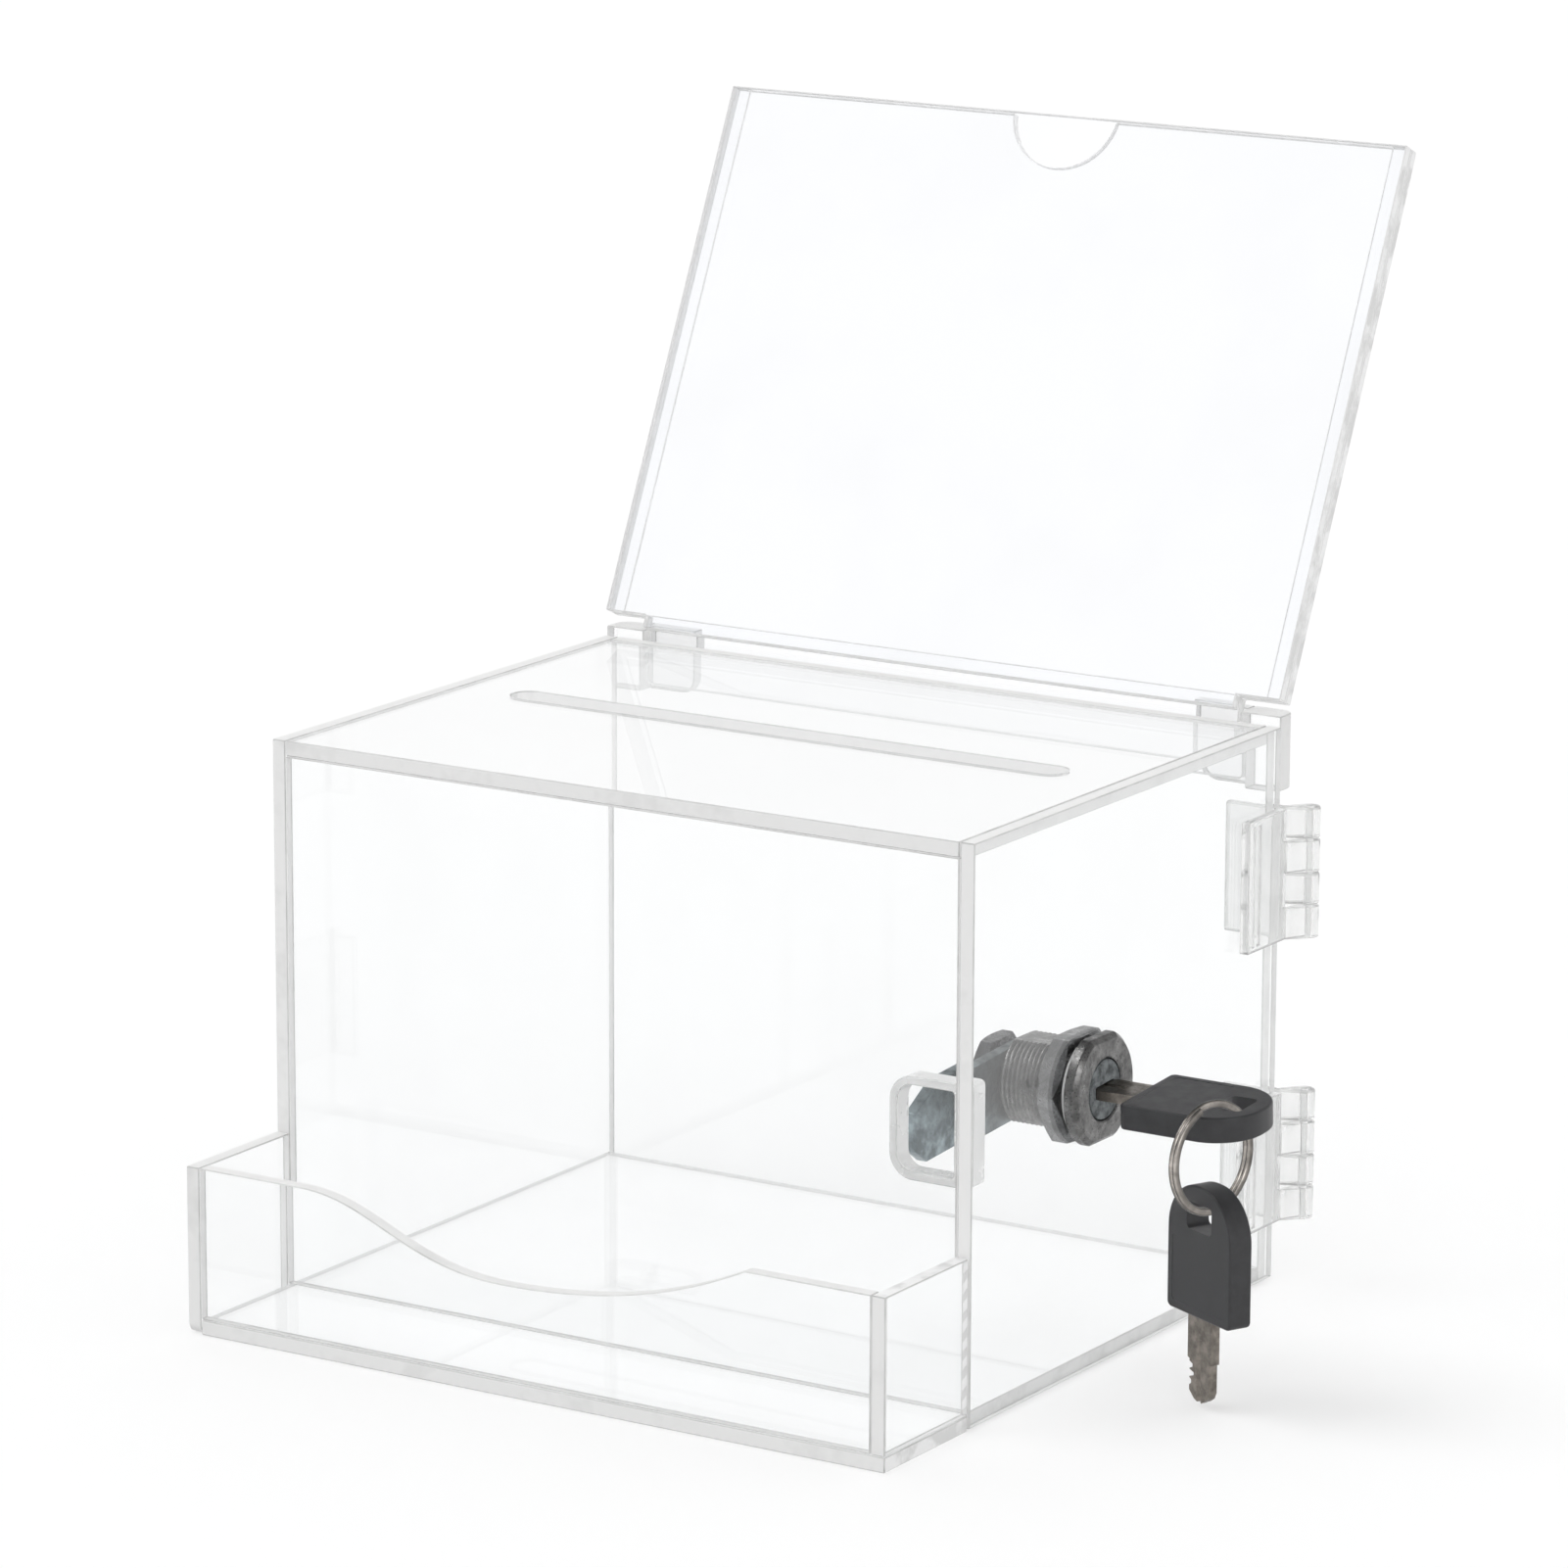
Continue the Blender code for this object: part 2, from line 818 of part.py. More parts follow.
def build_leaf(name, plate_low, plate_high, outline, bottom, levels, carrier):
    """One hinge leaf: a flat plate with every other knuckle of the hinge."""
    top = bottom + hinge_height
    leaf = add_piece(name, block((*plate_low, bottom), (*plate_high, top)), hinge_plastic, carrier)
    pitch = (hinge_height + knuckle_gap) / knuckle_count
    for level in levels:
        start = bottom + level * pitch
        end = start + pitch - knuckle_gap
        use_tool(leaf, f"knuckle_{level + 1}", prism(outline, "XY", start, end), "UNION")
    bore = rod("Z", (hinge_x, hinge_y), pin_radius + pin_clearance, bottom - cut_overrun,
               top + cut_overrun, small_segments)
    use_tool(leaf, "pin_bore", bore)


def build_hinge(prefix, bottom, door_pivot):
    """A butt hinge: a leaf on the door, a leaf on the rear panel and the pin."""
    door_near = door_outer + bond_gap
    door_far = door_near + hinge_leaf
    door_end = rear - door_leaf_inset
    root_y = door_end - hinge_leaf
    door_outline = knuckle_outline(
        (door_near, root_y), (door_far, root_y), (door_near, door_end), (door_far, door_end), 1)
    build_leaf(
        prefix + "_hinge_door_leaf",
        (door_near, door_end - door_leaf_length),
        (door_far, door_end),
        door_outline,
        bottom,
        range(0, knuckle_count, 2),
        door_pivot,
    )
    rear_near = rear + bond_gap
    rear_far = rear_near + hinge_leaf
    root_x = right - hinge_leaf
    rear_outline = knuckle_outline(
        (root_x, rear_near), (root_x, rear_far), (right, rear_near), (right, rear_far), -1)
    build_leaf(
        prefix + "_hinge_rear_leaf",
        (right - rear_leaf_length, rear_near),
        (right, rear_far),
        rear_outline,
        bottom,
        range(1, knuckle_count, 2),
        None,
    )
    add_piece(
        prefix + "_hinge_pin",
        rod("Z", (hinge_x, hinge_y), pin_radius, bottom + pin_end_gap,
            bottom + hinge_height - pin_end_gap, small_segments),
        hinge_plastic,
        door_pivot,
    )


def build_sign_bracket(side_name, side):
    """A bracket on the rear panel: a block at the box's side and a plate behind the sign."""
    outer = side * box_width / 2
    block_inner = outer - side * bracket_block_width
    block_outline = rounded_outline([
        (outer, bracket_front_y, 0),
        (outer, plate_rear_y, bracket_corner_round),
        (block_inner, plate_rear_y, 0),
        (block_inner, bracket_front_y, 0),
    ])
    add_piece(
        "sign_bracket_block_" + side_name,
        prism(block_outline, "XY", bracket_bottom, bracket_top),
        clear_acrylic,
    )
    plate_outer = block_inner - side * bond_gap
    plate_inner = outer - side * bracket_reach
    plate_outline = rounded_outline([
        (plate_outer, bracket_bottom, 0),
        (plate_outer, bracket_top, 0),
        (plate_inner, bracket_top, 0),
        (plate_inner, bracket_bottom, bracket_plate_round),
    ])
    add_piece(
        "sign_bracket_plate_" + side_name,
        prism(plate_outline, "XZ", plate_front_y, plate_rear_y),
        clear_acrylic,
    )


def sign_bend():
    """Where the back sheet's rear face leaves its bend, so that it rests on the bracket plates."""
    bend_y = tongue_rear_y + sign_bend_radius * (1 - math.cos(sign_lean))
    reach = (plate_front_y - bend_y) * math.cos(sign_lean) - touch_gap
    bend_z = bracket_top - reach / math.sin(sign_lean)
    return bend_y, bend_z


def leaned(shape):
    """Lean back an upright shape whose rear foot is at the origin, as the sign leans."""
    place = Matrix.Translation((0, *sign_bend()))
    return turned(shape, place @ Matrix.Rotation(-sign_lean, 4, "X"))


def lean_block(x_low, x_high, low, high, back, ahead):
    """A flat bar of the leaning sign: low and high up the lean, back and ahead from its rear."""
    return leaned(block((x_low, -ahead, low), (x_high, -back, high)))


def build_sign(sign_pivot):
    """The sign holder: two sheets with strips between them, the back one bent into a tongue."""
    strip_back = sign_sheet + bond_gap
    strip_front = strip_back + sign_spacer
    front_back = strip_front + bond_gap
    front_ahead = front_back + sign_sheet
    top = sign_foot + sign_height
    tongue_half = box_width / 2 - bracket_block_width - tongue_side_gap
    middle_foot = sign_foot - sign_middle_drop
    face = [
        (left, sign_foot),
        (-tongue_half, sign_foot),
        (-tongue_half, middle_foot),
        (tongue_half, middle_foot),
        (tongue_half, sign_foot),
        (right, sign_foot),
        (right, top),
        (left, top),
    ]
    front_sheet = leaned(prism(face, "XZ", -front_ahead, -front_back))
    add_piece("sign_front_sheet", front_sheet, clear_acrylic, sign_pivot)
    strip_inner = right - sign_strip_width
    add_piece(
        "sign_left_strip",
        lean_block(left, -strip_inner, sign_foot, top, strip_back, strip_front),
        clear_acrylic,
        sign_pivot,
    )
    add_piece(
        "sign_right_strip",
        lean_block(strip_inner, right, sign_foot, top, strip_back, strip_front),
        clear_acrylic,
        sign_pivot,
    )
    strip_half = min(tongue_half, strip_inner - bond_gap)
    add_piece(
        "sign_bottom_strip",
        lean_block(-strip_half, strip_half, middle_foot, middle_foot + sign_bottom_strip,
                   strip_back, strip_front),
        clear_acrylic,
        sign_pivot,
    )
    build_back_sheet(sign_pivot, top, tongue_half)


def thumb_notch(top):
    """The round notch in the back sheet's top edge, from right to left."""
    centre = top - thumb_depth + thumb_radius
    half_open = math.acos((centre - top) / thumb_radius)
    points = []
    for step in range(small_segments + 1):
        turn = half_open - 2 * half_open * step / small_segments
        points.append((thumb_radius * math.sin(turn), centre - thumb_radius * math.cos(turn)))
    return points


def build_back_sheet(sign_pivot, top, tongue_half):
    """The back sheet, cut flat with its notch and tongue and then bent.

    Heights are measured up the flat sheet from the lower end of its bend.
    """
    bend_length = sign_bend_radius * sign_lean
    foot = bend_length + sign_foot
    sheet_top = bend_length + top
    outline = rounded_outline([
        (-tongue_half, foot, 0),
        (-tongue_half, -tongue_length, tongue_round),
        (tongue_half, -tongue_length, tongue_round),
        (tongue_half, foot, 0),
    ])
    outline += [(right, foot), (right, sheet_top)]
    outline += thumb_notch(sheet_top)
    outline += [(left, sheet_top), (left, foot)]
    shape = prism(outline, "XZ", -sign_sheet, 0)
    for step in range(sign_bend_steps + 1):
        everything = shape.verts[:] + shape.edges[:] + shape.faces[:]
        height = bend_length * step / sign_bend_steps
        bmesh.ops.bisect_plane(
            shape,
            geom=everything,
            dist=bond_gap / sign_bend_steps,
            plane_co=(0, 0, height),
            plane_no=(0, 0, 1),
        )
    bend_y, bend_z = sign_bend()
    centre_y = tongue_rear_y + sign_bend_radius
    centre_z = bend_z - sign_bend_radius * math.sin(sign_lean)
    for corner in shape.verts:
        height = corner.co.z
        turn = min(max(height / sign_bend_radius, 0), sign_lean)
        beyond = height - bend_length if height > bend_length else min(height, 0)
        radius = sign_bend_radius - corner.co.y
        corner.co.y = centre_y - radius * math.cos(turn) + beyond * math.sin(turn)
        corner.co.z = centre_z + radius * math.sin(turn) + beyond * math.cos(turn)
    add_piece("sign_back_sheet", shape, clear_acrylic, sign_pivot)


def build_part():
    clear_scene()
    door_pivot = add_pivot("door_pivot", Vector((hinge_x, hinge_y, box_height / 2)))
    lock_pivot = add_pivot("lock_pivot", Vector((plug_face, lock_y, lock_z)), door_pivot)
    key_pivot = add_pivot("key_pivot", Vector((key_hole_x, lock_y, lock_z)), lock_pivot)
    ring_place, pivot_rise = ring_centre()
    ring_pivot = add_pivot("ring_pivot", ring_place + Vector((0, 0, pivot_rise)), key_pivot)
    ring_bottom = ring_place - Vector((0, 0, ring_middle))
    spare_key_pivot = add_pivot("spare_key_pivot", ring_bottom, ring_pivot)
    sign_pivot = add_pivot("sign_pivot", Vector((0, rear, box_height)))
    build_case()
    build_tray()
    build_strike()
    build_door(door_pivot)
    build_lock(door_pivot, lock_pivot)
    key_place = Matrix.Translation((key_hole_x, lock_y, lock_z))
    build_key("", lock_turned @ key_place, key_pivot)
    build_ring(ring_place, ring_pivot)
    wire_reach = math.hypot(ring_wire_axial / 2, ring_wire_radial / 2)
    head_reach = key_head_thickness / 2 / math.cos(spare_key_turn - ring_turn)
    ring_rise = ring_middle - math.sqrt(ring_middle ** 2 - head_reach ** 2)
    seat = wire_reach + ring_rise + spare_key_seat_gap
    spare_hole = ring_bottom + Vector((0, 0, seat - key_hole_along / 2))
    upright = Matrix.Rotation(-math.pi / 2, 4, "Y") @ Matrix.Rotation(math.pi / 2, 4, "X")
    hanging = Matrix.Rotation(spare_key_turn, 4, "Z") @ upright
    centred = Matrix.Translation((0, 0, key_head_drop))
    build_key("spare_", Matrix.Translation(spare_hole) @ hanging @ centred, spare_key_pivot)
    build_hinge("upper", upper_hinge_bottom, door_pivot)
    build_hinge("lower", lower_hinge_bottom, door_pivot)
    build_sign_bracket("left", -1)
    build_sign_bracket("right", 1)
    build_sign(sign_pivot)


build_part()
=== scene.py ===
"""A clear suggestion box with a card tray, a locked side door, keys and a sign holder.

Sizes are in metres. +X points out of the side door, +Y to the back and +Z up.
"""
import json
import math

import bmesh
import bpy
from mathutils import Matrix, Vector
from mathutils.geometry import interpolate_bezier


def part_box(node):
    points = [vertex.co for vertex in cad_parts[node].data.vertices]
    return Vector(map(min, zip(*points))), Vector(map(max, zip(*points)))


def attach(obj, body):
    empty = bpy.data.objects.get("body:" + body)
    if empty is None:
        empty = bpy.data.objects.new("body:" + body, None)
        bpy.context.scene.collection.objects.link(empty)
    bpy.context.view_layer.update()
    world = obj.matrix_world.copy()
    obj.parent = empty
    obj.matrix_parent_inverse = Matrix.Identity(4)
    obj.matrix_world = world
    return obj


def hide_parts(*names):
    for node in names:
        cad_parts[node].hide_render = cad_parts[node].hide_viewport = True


bl_info = {
    "name": "Suggestion Box",
    "version": (1, 0, 0),
    "blender": (4, 5, 0),
    "location": "View3D > Sidebar > Suggestion Box",
    "description": "Dresses the clear suggestion box, its lock and keys, and sets the stage",
    "category": "Object",
}

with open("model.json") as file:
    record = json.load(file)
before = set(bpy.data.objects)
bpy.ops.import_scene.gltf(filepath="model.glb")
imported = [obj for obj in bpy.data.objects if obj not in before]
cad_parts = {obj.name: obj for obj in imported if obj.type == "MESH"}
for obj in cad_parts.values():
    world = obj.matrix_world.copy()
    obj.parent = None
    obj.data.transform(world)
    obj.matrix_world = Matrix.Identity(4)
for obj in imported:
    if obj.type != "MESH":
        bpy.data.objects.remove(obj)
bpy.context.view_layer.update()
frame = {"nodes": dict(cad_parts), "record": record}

# Where things are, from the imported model
rear_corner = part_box("rear_panel")[1]
lid_low, lid_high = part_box("top_panel")
door_low, door_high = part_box("side_door")
head_low, head_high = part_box("lock_housing")
nut_low, nut_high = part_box("lock_nut")
key_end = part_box("key_head")[1].x
spare_low, spare_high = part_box("spare_key_head")
ring_low, ring_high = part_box("split_ring")
ring_centre = (ring_low + ring_high) / 2
lock_y = (nut_low.y + nut_high.y) / 2
lock_z = (nut_low.z + nut_high.z) / 2
lock_centre = (lock_y, lock_z)
lock_axis = Vector((0, lock_y, lock_z))
axis_x = Vector((1, 0, 0))
axis_y = Vector((0, 1, 0))
axis_z = Vector((0, 0, 1))

# Sizes that the model's boxes don't give
sheet_thickness = 0.003
sign_lean = math.radians(25)
slot_from_sides = 0.0155
slot_from_front = 0.0598
slot_width = 0.0073
strike_wall = 0.0017
strike_round = 0.005
lock_head_radius = 0.01115
lock_head_flats = 0.0205
lock_head_thickness = 0.0028
lock_body_radius = 0.009
lock_body_flats = 0.016
door_hole_clearance = 0.0003
plug_radius = 0.006
bore_radius = 0.0061
stub_radius = 0.004
stub_hole_radius = 0.00415
plug_turn = math.radians(3.5)
key_head_length = 0.0255
key_head_width = 0.0205
key_head_thickness = 0.005
key_head_drop = 0.001
key_hole_from_end = 0.006
key_blade_length = 0.0165
key_shown_neck = 0.0086
ring_wire_axial = 0.0018
ring_wire_radial = 0.0015
ring_turn = math.radians(-13)
spare_key_turn = math.radians(-26)
lock_turned = (
    Matrix.Translation(lock_axis)
    @ Matrix.Rotation(plug_turn, 4, "X")
    @ Matrix.Translation(-lock_axis)
)

# How the camera looks at the box
camera_turn = math.radians(32.43)
camera_tilt = math.radians(13.1)
camera_roll = math.radians(0.184)

# How shapes and finishes are made
overrun = 0.002
touching = 0.000001
sharp_edge = math.radians(40)
nearly_flat = math.radians(1)
cut_face_tilt = 0.3
acrylic_ior = 1.49


class AcrylicSettings(bpy.types.PropertyGroup):
    chamfer: bpy.props.FloatProperty(
        name="Chamfer",
        description="Width of the broken edge along each sheet",
        default=0.00022,
        min=0.0,
        unit="LENGTH",
    )
    tint: bpy.props.FloatVectorProperty(
        name="Sheet tint",
        description="Colour of the light that a sheet lets through",
        default=(0.99, 0.994, 0.995),
        subtype="COLOR",
    )
    smudge: bpy.props.FloatProperty(
        name="Smudge",
        description="Share of the light that passes where a sheet is a little dusty",
        default=0.988,
    )
    sign_tint: bpy.props.FloatVectorProperty(
        name="Sign tint",
        description="Colour of the light that the sign holder's sheets let through",
        default=(0.988, 0.992, 1.0),
        subtype="COLOR",
    )
    edge_light: bpy.props.FloatVectorProperty(
        name="Cut edge, light",
        description="Main colour of the cut edges",
        default=(0.88, 0.88, 0.875),
        subtype="COLOR",
    )
    edge_dark: bpy.props.FloatVectorProperty(
        name="Cut edge, dark",
        description="Colour of the darker stretches of the cut edges",
        default=(0.80, 0.80, 0.795),
        subtype="COLOR",
    )
    arris: bpy.props.FloatVectorProperty(
        name="Arris",
        description="Colour of the broken edges along a sheet",
        default=(0.54, 0.54, 0.535),
        subtype="COLOR",
    )


class LockSettings(bpy.types.PropertyGroup):
    rim_chamfer: bpy.props.FloatProperty(
        name="Rim chamfer",
        description="Width of the bevel round the front of the lock's head",
        default=0.0009,
        unit="LENGTH",
    )
    bore_chamfer: bpy.props.FloatProperty(
        name="Bore chamfer",
        description="Width of the groove round the plug's face",
        default=0.00028,
        unit="LENGTH",
    )
    thread_pitch: bpy.props.FloatProperty(
        name="Thread pitch",
        description="Distance between the ridges on the lock's body",
        default=0.001,
        unit="LENGTH",
    )
    thread_depth: bpy.props.FloatProperty(
        name="Thread depth",
        description="Depth of the grooves on the lock's body",
        default=0.0005,
        unit="LENGTH",
    )
    casting: bpy.props.FloatVectorProperty(
        name="Casting",
        description="Colour of the lock's housing",
        default=(0.155, 0.154, 0.152),
        subtype="COLOR",
    )
    cam: bpy.props.FloatVectorProperty(
        name="Cam",
        description="Colour of the zinc plated cam",
        default=(0.25, 0.30, 0.32),
        subtype="COLOR",
    )


class KeySettings(bpy.types.PropertyGroup):
    border: bpy.props.FloatProperty(
        name="Border",
        description="Width of the raised border round a key's head",
        default=0.0016,
        unit="LENGTH",
    )
    border_height: bpy.props.FloatProperty(
        name="Border height",
        description="How far the border stands above the middle of a key's head",
        default=0.00012,
        unit="LENGTH",
    )
    plastic: bpy.props.FloatVectorProperty(
        name="Head plastic",
        description="Colour of the keys' heads",
        default=(0.022, 0.022, 0.024),
        subtype="COLOR",
    )
    steel: bpy.props.FloatVectorProperty(
        name="Blade steel",
        description="Colour of the keys' blades",
        default=(0.21, 0.19, 0.168),
        subtype="COLOR",
    )
    ring_steel: bpy.props.FloatVectorProperty(
        name="Ring steel",
        description="Colour of the split ring",
        default=(0.42, 0.39, 0.36),
        subtype="COLOR",
    )


class StageSettings(bpy.types.PropertyGroup):
    floor_size: bpy.props.FloatProperty(
        name="Floor size",
        description="Width of the pale floor",
        default=24.0,
        unit="LENGTH",
    )
    floor_colour: bpy.props.FloatVectorProperty(
        name="Floor colour",
        description="Colour of the floor",
        default=(0.6, 0.6, 0.6),
        subtype="COLOR",
    )
    floor_lift: bpy.props.FloatProperty(
        name="Floor lift",
        description="Light added to the floor where the camera, metal or glass sees it",
        default=0.37,
    )
    room_light: bpy.props.FloatProperty(
        name="Room light",
        description="Strength of the light from all around",
        default=0.8,
    )
    main_lamp: bpy.props.FloatProperty(
        name="Main lamp",
        description="Strength of the soft lamp at the left",
        default=0.85,
    )
    second_lamp: bpy.props.FloatProperty(
        name="Second lamp",
        description="Strength of the soft lamp at the right",
        default=0.5,
    )
    camera_place: bpy.props.FloatVectorProperty(
        name="Camera place",
        description="Where the camera stands",
        default=(0.747, -1.1737, 0.4256),
        subtype="TRANSLATION",
        unit="LENGTH",
    )
    camera_lens: bpy.props.FloatProperty(
        name="Camera lens",
        description="Focal length of the camera in millimetres",
        default=168.78,
    )


class BoxSettings(bpy.types.PropertyGroup):
    acrylic: bpy.props.PointerProperty(type=AcrylicSettings)
    lock: bpy.props.PointerProperty(type=LockSettings)
    keys: bpy.props.PointerProperty(type=KeySettings)
    stage: bpy.props.PointerProperty(type=StageSettings)


def settings():
    return bpy.context.scene.suggestion_box


# Shaders


def new_node(tree, kind, **values):
    """A node whose named inputs are set; spaces in their names are written as _."""
    node = tree.nodes.new(kind)
    for name, value in values.items():
        node.inputs[name.replace("_", " ")].default_value = value
    return node


def maths(tree, operation, *values):
    """A Math node's output; each of its two values is a number or an output socket."""
    node = tree.nodes.new("ShaderNodeMath")
    node.operation = operation
    for index, value in enumerate(values):
        if isinstance(value, bpy.types.NodeSocket):
            tree.links.new(value, node.inputs[index])
        else:
            node.inputs[index].default_value = value
    return node.outputs[0]


def new_group(name, inputs, outputs):
    """A node group with (kind, name) sockets, and its input and output nodes."""
    tree = bpy.data.node_groups.new(name, "ShaderNodeTree")
    for kind, label in inputs:
        tree.interface.new_socket(label, in_out="INPUT", socket_type=kind)
    for kind, label in outputs:
        tree.interface.new_socket(label, in_out="OUTPUT", socket_type=kind)
    return tree, tree.nodes.new("NodeGroupInput"), tree.nodes.new("NodeGroupOutput")


def colour_sockets(sockets):
    return [socket for socket in sockets if socket.type == "RGBA"]


def mottle_group():
    """Cloudy patches of two colours, with a mask of the first one's share."""
    name = "Mottle"
    if name in bpy.data.node_groups:
        return bpy.data.node_groups[name]
    tree, given, result = new_group(
        name,
        [("NodeSocketVector", "Vector"), ("NodeSocketFloat", "Scale"),
         ("NodeSocketFloat", "Low"), ("NodeSocketFloat", "High"),
         ("NodeSocketColor", "Dark"), ("NodeSocketColor", "Light")],
        [("NodeSocketColor", "Colour"), ("NodeSocketFloat", "Mask")],
    )
    noise = new_node(tree, "ShaderNodeTexNoise", Detail=3.0, Roughness=0.6)
    tree.links.new(given.outputs["Vector"], noise.inputs["Vector"])
    tree.links.new(given.outputs["Scale"], noise.inputs["Scale"])
    spread = tree.nodes.new("ShaderNodeMapRange")
    tree.links.new(noise.outputs["Fac"], spread.inputs["Value"])
    tree.links.new(given.outputs["Low"], spread.inputs["From Min"])
    tree.links.new(given.outputs["High"], spread.inputs["From Max"])
    mix = tree.nodes.new("ShaderNodeMix")
    mix.data_type = "RGBA"
    tree.links.new(spread.outputs["Result"], mix.inputs[0])
    dark, light = colour_sockets(mix.inputs)
    tree.links.new(given.outputs["Dark"], dark)
    tree.links.new(given.outputs["Light"], light)
    tree.links.new(colour_sockets(mix.outputs)[0], result.inputs["Colour"])
    tree.links.new(spread.outputs["Result"], result.inputs["Mask"])
    return tree


def start_material(name, roughness, metallic=0.0, transmission=0.0):
    """A new material with its tree, its shader and the object's own coordinates."""
    material = bpy.data.materials.new(name)
    material.use_nodes = True
    tree = material.node_tree
    shader = tree.nodes["Principled BSDF"]
    shader.inputs["Roughness"].default_value = roughness
    shader.inputs["Metallic"].default_value = metallic
    shader.inputs["Transmission Weight"].default_value = transmission
    shader.inputs["IOR"].default_value = acrylic_ior
    place = tree.nodes.new("ShaderNodeTexCoord").outputs["Object"]
    return material, tree, shader, place


def mottled(tree, place, scale, low, high, dark, light):
    """Patches of two colours; the smaller the gap from low to high, the crisper."""
    group = tree.nodes.new("ShaderNodeGroup")
    group.node_tree = mottle_group()
    tree.links.new(place, group.inputs["Vector"])
    values = {"Scale": scale, "Low": low, "High": high,
              "Dark": (*dark, 1), "Light": (*light, 1)}
    for name, value in values.items():
        group.inputs[name].default_value = value
    return group


def ranged(tree, value, low, high):
    """A value from 0 to 1 spread between low and high."""
    spread = tree.nodes.new("ShaderNodeMapRange")
    tree.links.new(value, spread.inputs["Value"])
    spread.inputs["To Min"].default_value = low
    spread.inputs["To Max"].default_value = high
    return spread.outputs["Result"]


def multiplied(tree, colour, other, share=1.0):
    """A colour multiplied by another one, or by a value, as far as the share says."""
    mix = tree.nodes.new("ShaderNodeMix")
    mix.data_type = "RGBA"
    mix.blend_type = "MULTIPLY"
    mix.inputs[0].default_value = share
    under, over = colour_sockets(mix.inputs)
    tree.links.new(colour, under)
    tree.links.new(other, over)
    return colour_sockets(mix.outputs)[0]


def toned(material, other):
    """Multiply the base colour of a finished material by a colour or a value."""
    tree = material.node_tree
    base = tree.nodes["Principled BSDF"].inputs["Base Color"]
    tree.links.new(multiplied(tree, base.links[0].from_socket, other), base)
    return material


def ramped(tree, value, start, end):
    """A value turned into a colour between two ends, each given as (value, colour)."""
    ramp = tree.nodes.new("ShaderNodeValToRGB")
    for element, (position, colour) in zip(ramp.color_ramp.elements, (start, end)):
        element.position = position
        element.color = (*colour, 1)
    tree.links.new(value, ramp.inputs["Fac"])
    return ramp.outputs["Color"]


def coloured(tree, shader, patches, roughness=None):
    """Take the base colour from patches and, with (low, high), the roughness."""
    tree.links.new(patches.outputs["Colour"], shader.inputs["Base Color"])
    if roughness:
        rough = ranged(tree, patches.outputs["Mask"], *roughness)
        tree.links.new(rough, shader.inputs["Roughness"])


def bumped(tree, shader, height, distance, strength=1.0):
    bump = new_node(tree, "ShaderNodeBump", Strength=strength, Distance=distance)
    tree.links.new(height, bump.inputs["Height"])
    tree.links.new(bump.outputs["Normal"], shader.inputs["Normal"])


def grained(tree, shader, place, scale, detail, distance, strength=1.0):
    """Uneven the surface by noise."""
    noise = new_node(tree, "ShaderNodeTexNoise", Scale=scale, Detail=detail)
    tree.links.new(place, noise.inputs["Vector"])
    bumped(tree, shader, noise.outputs["Fac"], distance, strength)


def mixed(tree, share, under, over):
    """Two shader sockets mixed by a share of the second one."""
    mix = tree.nodes.new("ShaderNodeMixShader")
    for socket, value in zip(mix.inputs, (share, under, over)):
        tree.links.new(value, socket)
    return mix.outputs[0]


def passed_by(tree, shader, colour, lamps=True):
    """Let reflected rays and the lamps' rays pass a piece, tinted with a colour.

    Plain glass stops the lamps' light, and edges mirrored in it make stray lines.
    """
    path = tree.nodes.new("ShaderNodeLightPath")
    passed = maths(tree, "SUBTRACT", path.outputs["Is Glossy Ray"],
                   path.outputs["Is Transmission Ray"])
    if lamps:
        passed = maths(tree, "MAXIMUM", passed, path.outputs["Is Shadow Ray"])
    tinted = new_node(tree, "ShaderNodeBsdfTransparent", Color=(*colour, 1))
    result = mixed(tree, passed, shader.outputs[0], tinted.outputs[0])
    tree.links.new(result, tree.nodes["Material Output"].inputs["Surface"])


def make_clear_sheet(name, tint):
    """Polished clear sheet with a trace of dust and a slight waviness."""
    material, tree, shader, place = start_material(name, 0.0, transmission=1.0)
    smudged = [channel * settings().acrylic.smudge for channel in tint]
    coloured(tree, shader, mottled(tree, place, 28, 0.42, 0.7, tint, smudged))
    grained(tree, shader, place, 14.0, 1.0, 0.000004)
    passed_by(tree, shader, (0.994, 0.995, 0.996))
    return material


def make_sheet_acrylic(name):
    return make_clear_sheet(name, settings().acrylic.tint)


def make_sign_acrylic(name):
    return make_clear_sheet(name, settings().acrylic.sign_tint)


# painted shade: the lid's sheet has a darker tint than the other sheets
def make_shaded_lid_acrylic(name):
    return make_clear_sheet(name, (0.962, 0.965, 0.966))


def make_bracket_acrylic(name):
    return make_clear_sheet(name, (0.87, 0.87, 0.868))


def make_edge(name, scale, low, high, dark, light, transmission=0.15):
    """Cut and scraped edge of a sheet: frosted, pale, with darker stretches."""
    material, tree, shader, place = start_material(name, 0.35, transmission=transmission)
    coloured(tree, shader, mottled(tree, place, scale, low, high, dark, light), (0.28, 0.5))
    passed_by(tree, shader, (0.9, 0.9, 0.9))
    return material


def make_cut_edge(name):
    acrylic = settings().acrylic
    return make_edge(name, 95, 0.36, 0.5, acrylic.edge_dark, acrylic.edge_light)


def make_flamed_edge(name):
    """Edge with bright and dark stretches, as left by uneven polishing."""
    return make_edge(name, 160, 0.40, 0.55, (0.72, 0.72, 0.715), (0.96, 0.96, 0.96))


def make_painted_lit_edge(name):
    """Cut edges painted paler as painted light: the slot's rear wall, as pale as the lid, and the
    sign holder's upper edges.
    """
    return make_edge(name, 120, 0.4, 0.7, (0.965, 0.965, 0.963), (0.985, 0.985, 0.985))


def make_shaded_edge(name):
    """Cut edges painted darker as painted shade, where they are seen through their own sheet or
    through the door.
    """
    return make_edge(name, 150, 0.38, 0.56, (0.58, 0.58, 0.576), (0.7, 0.7, 0.695))


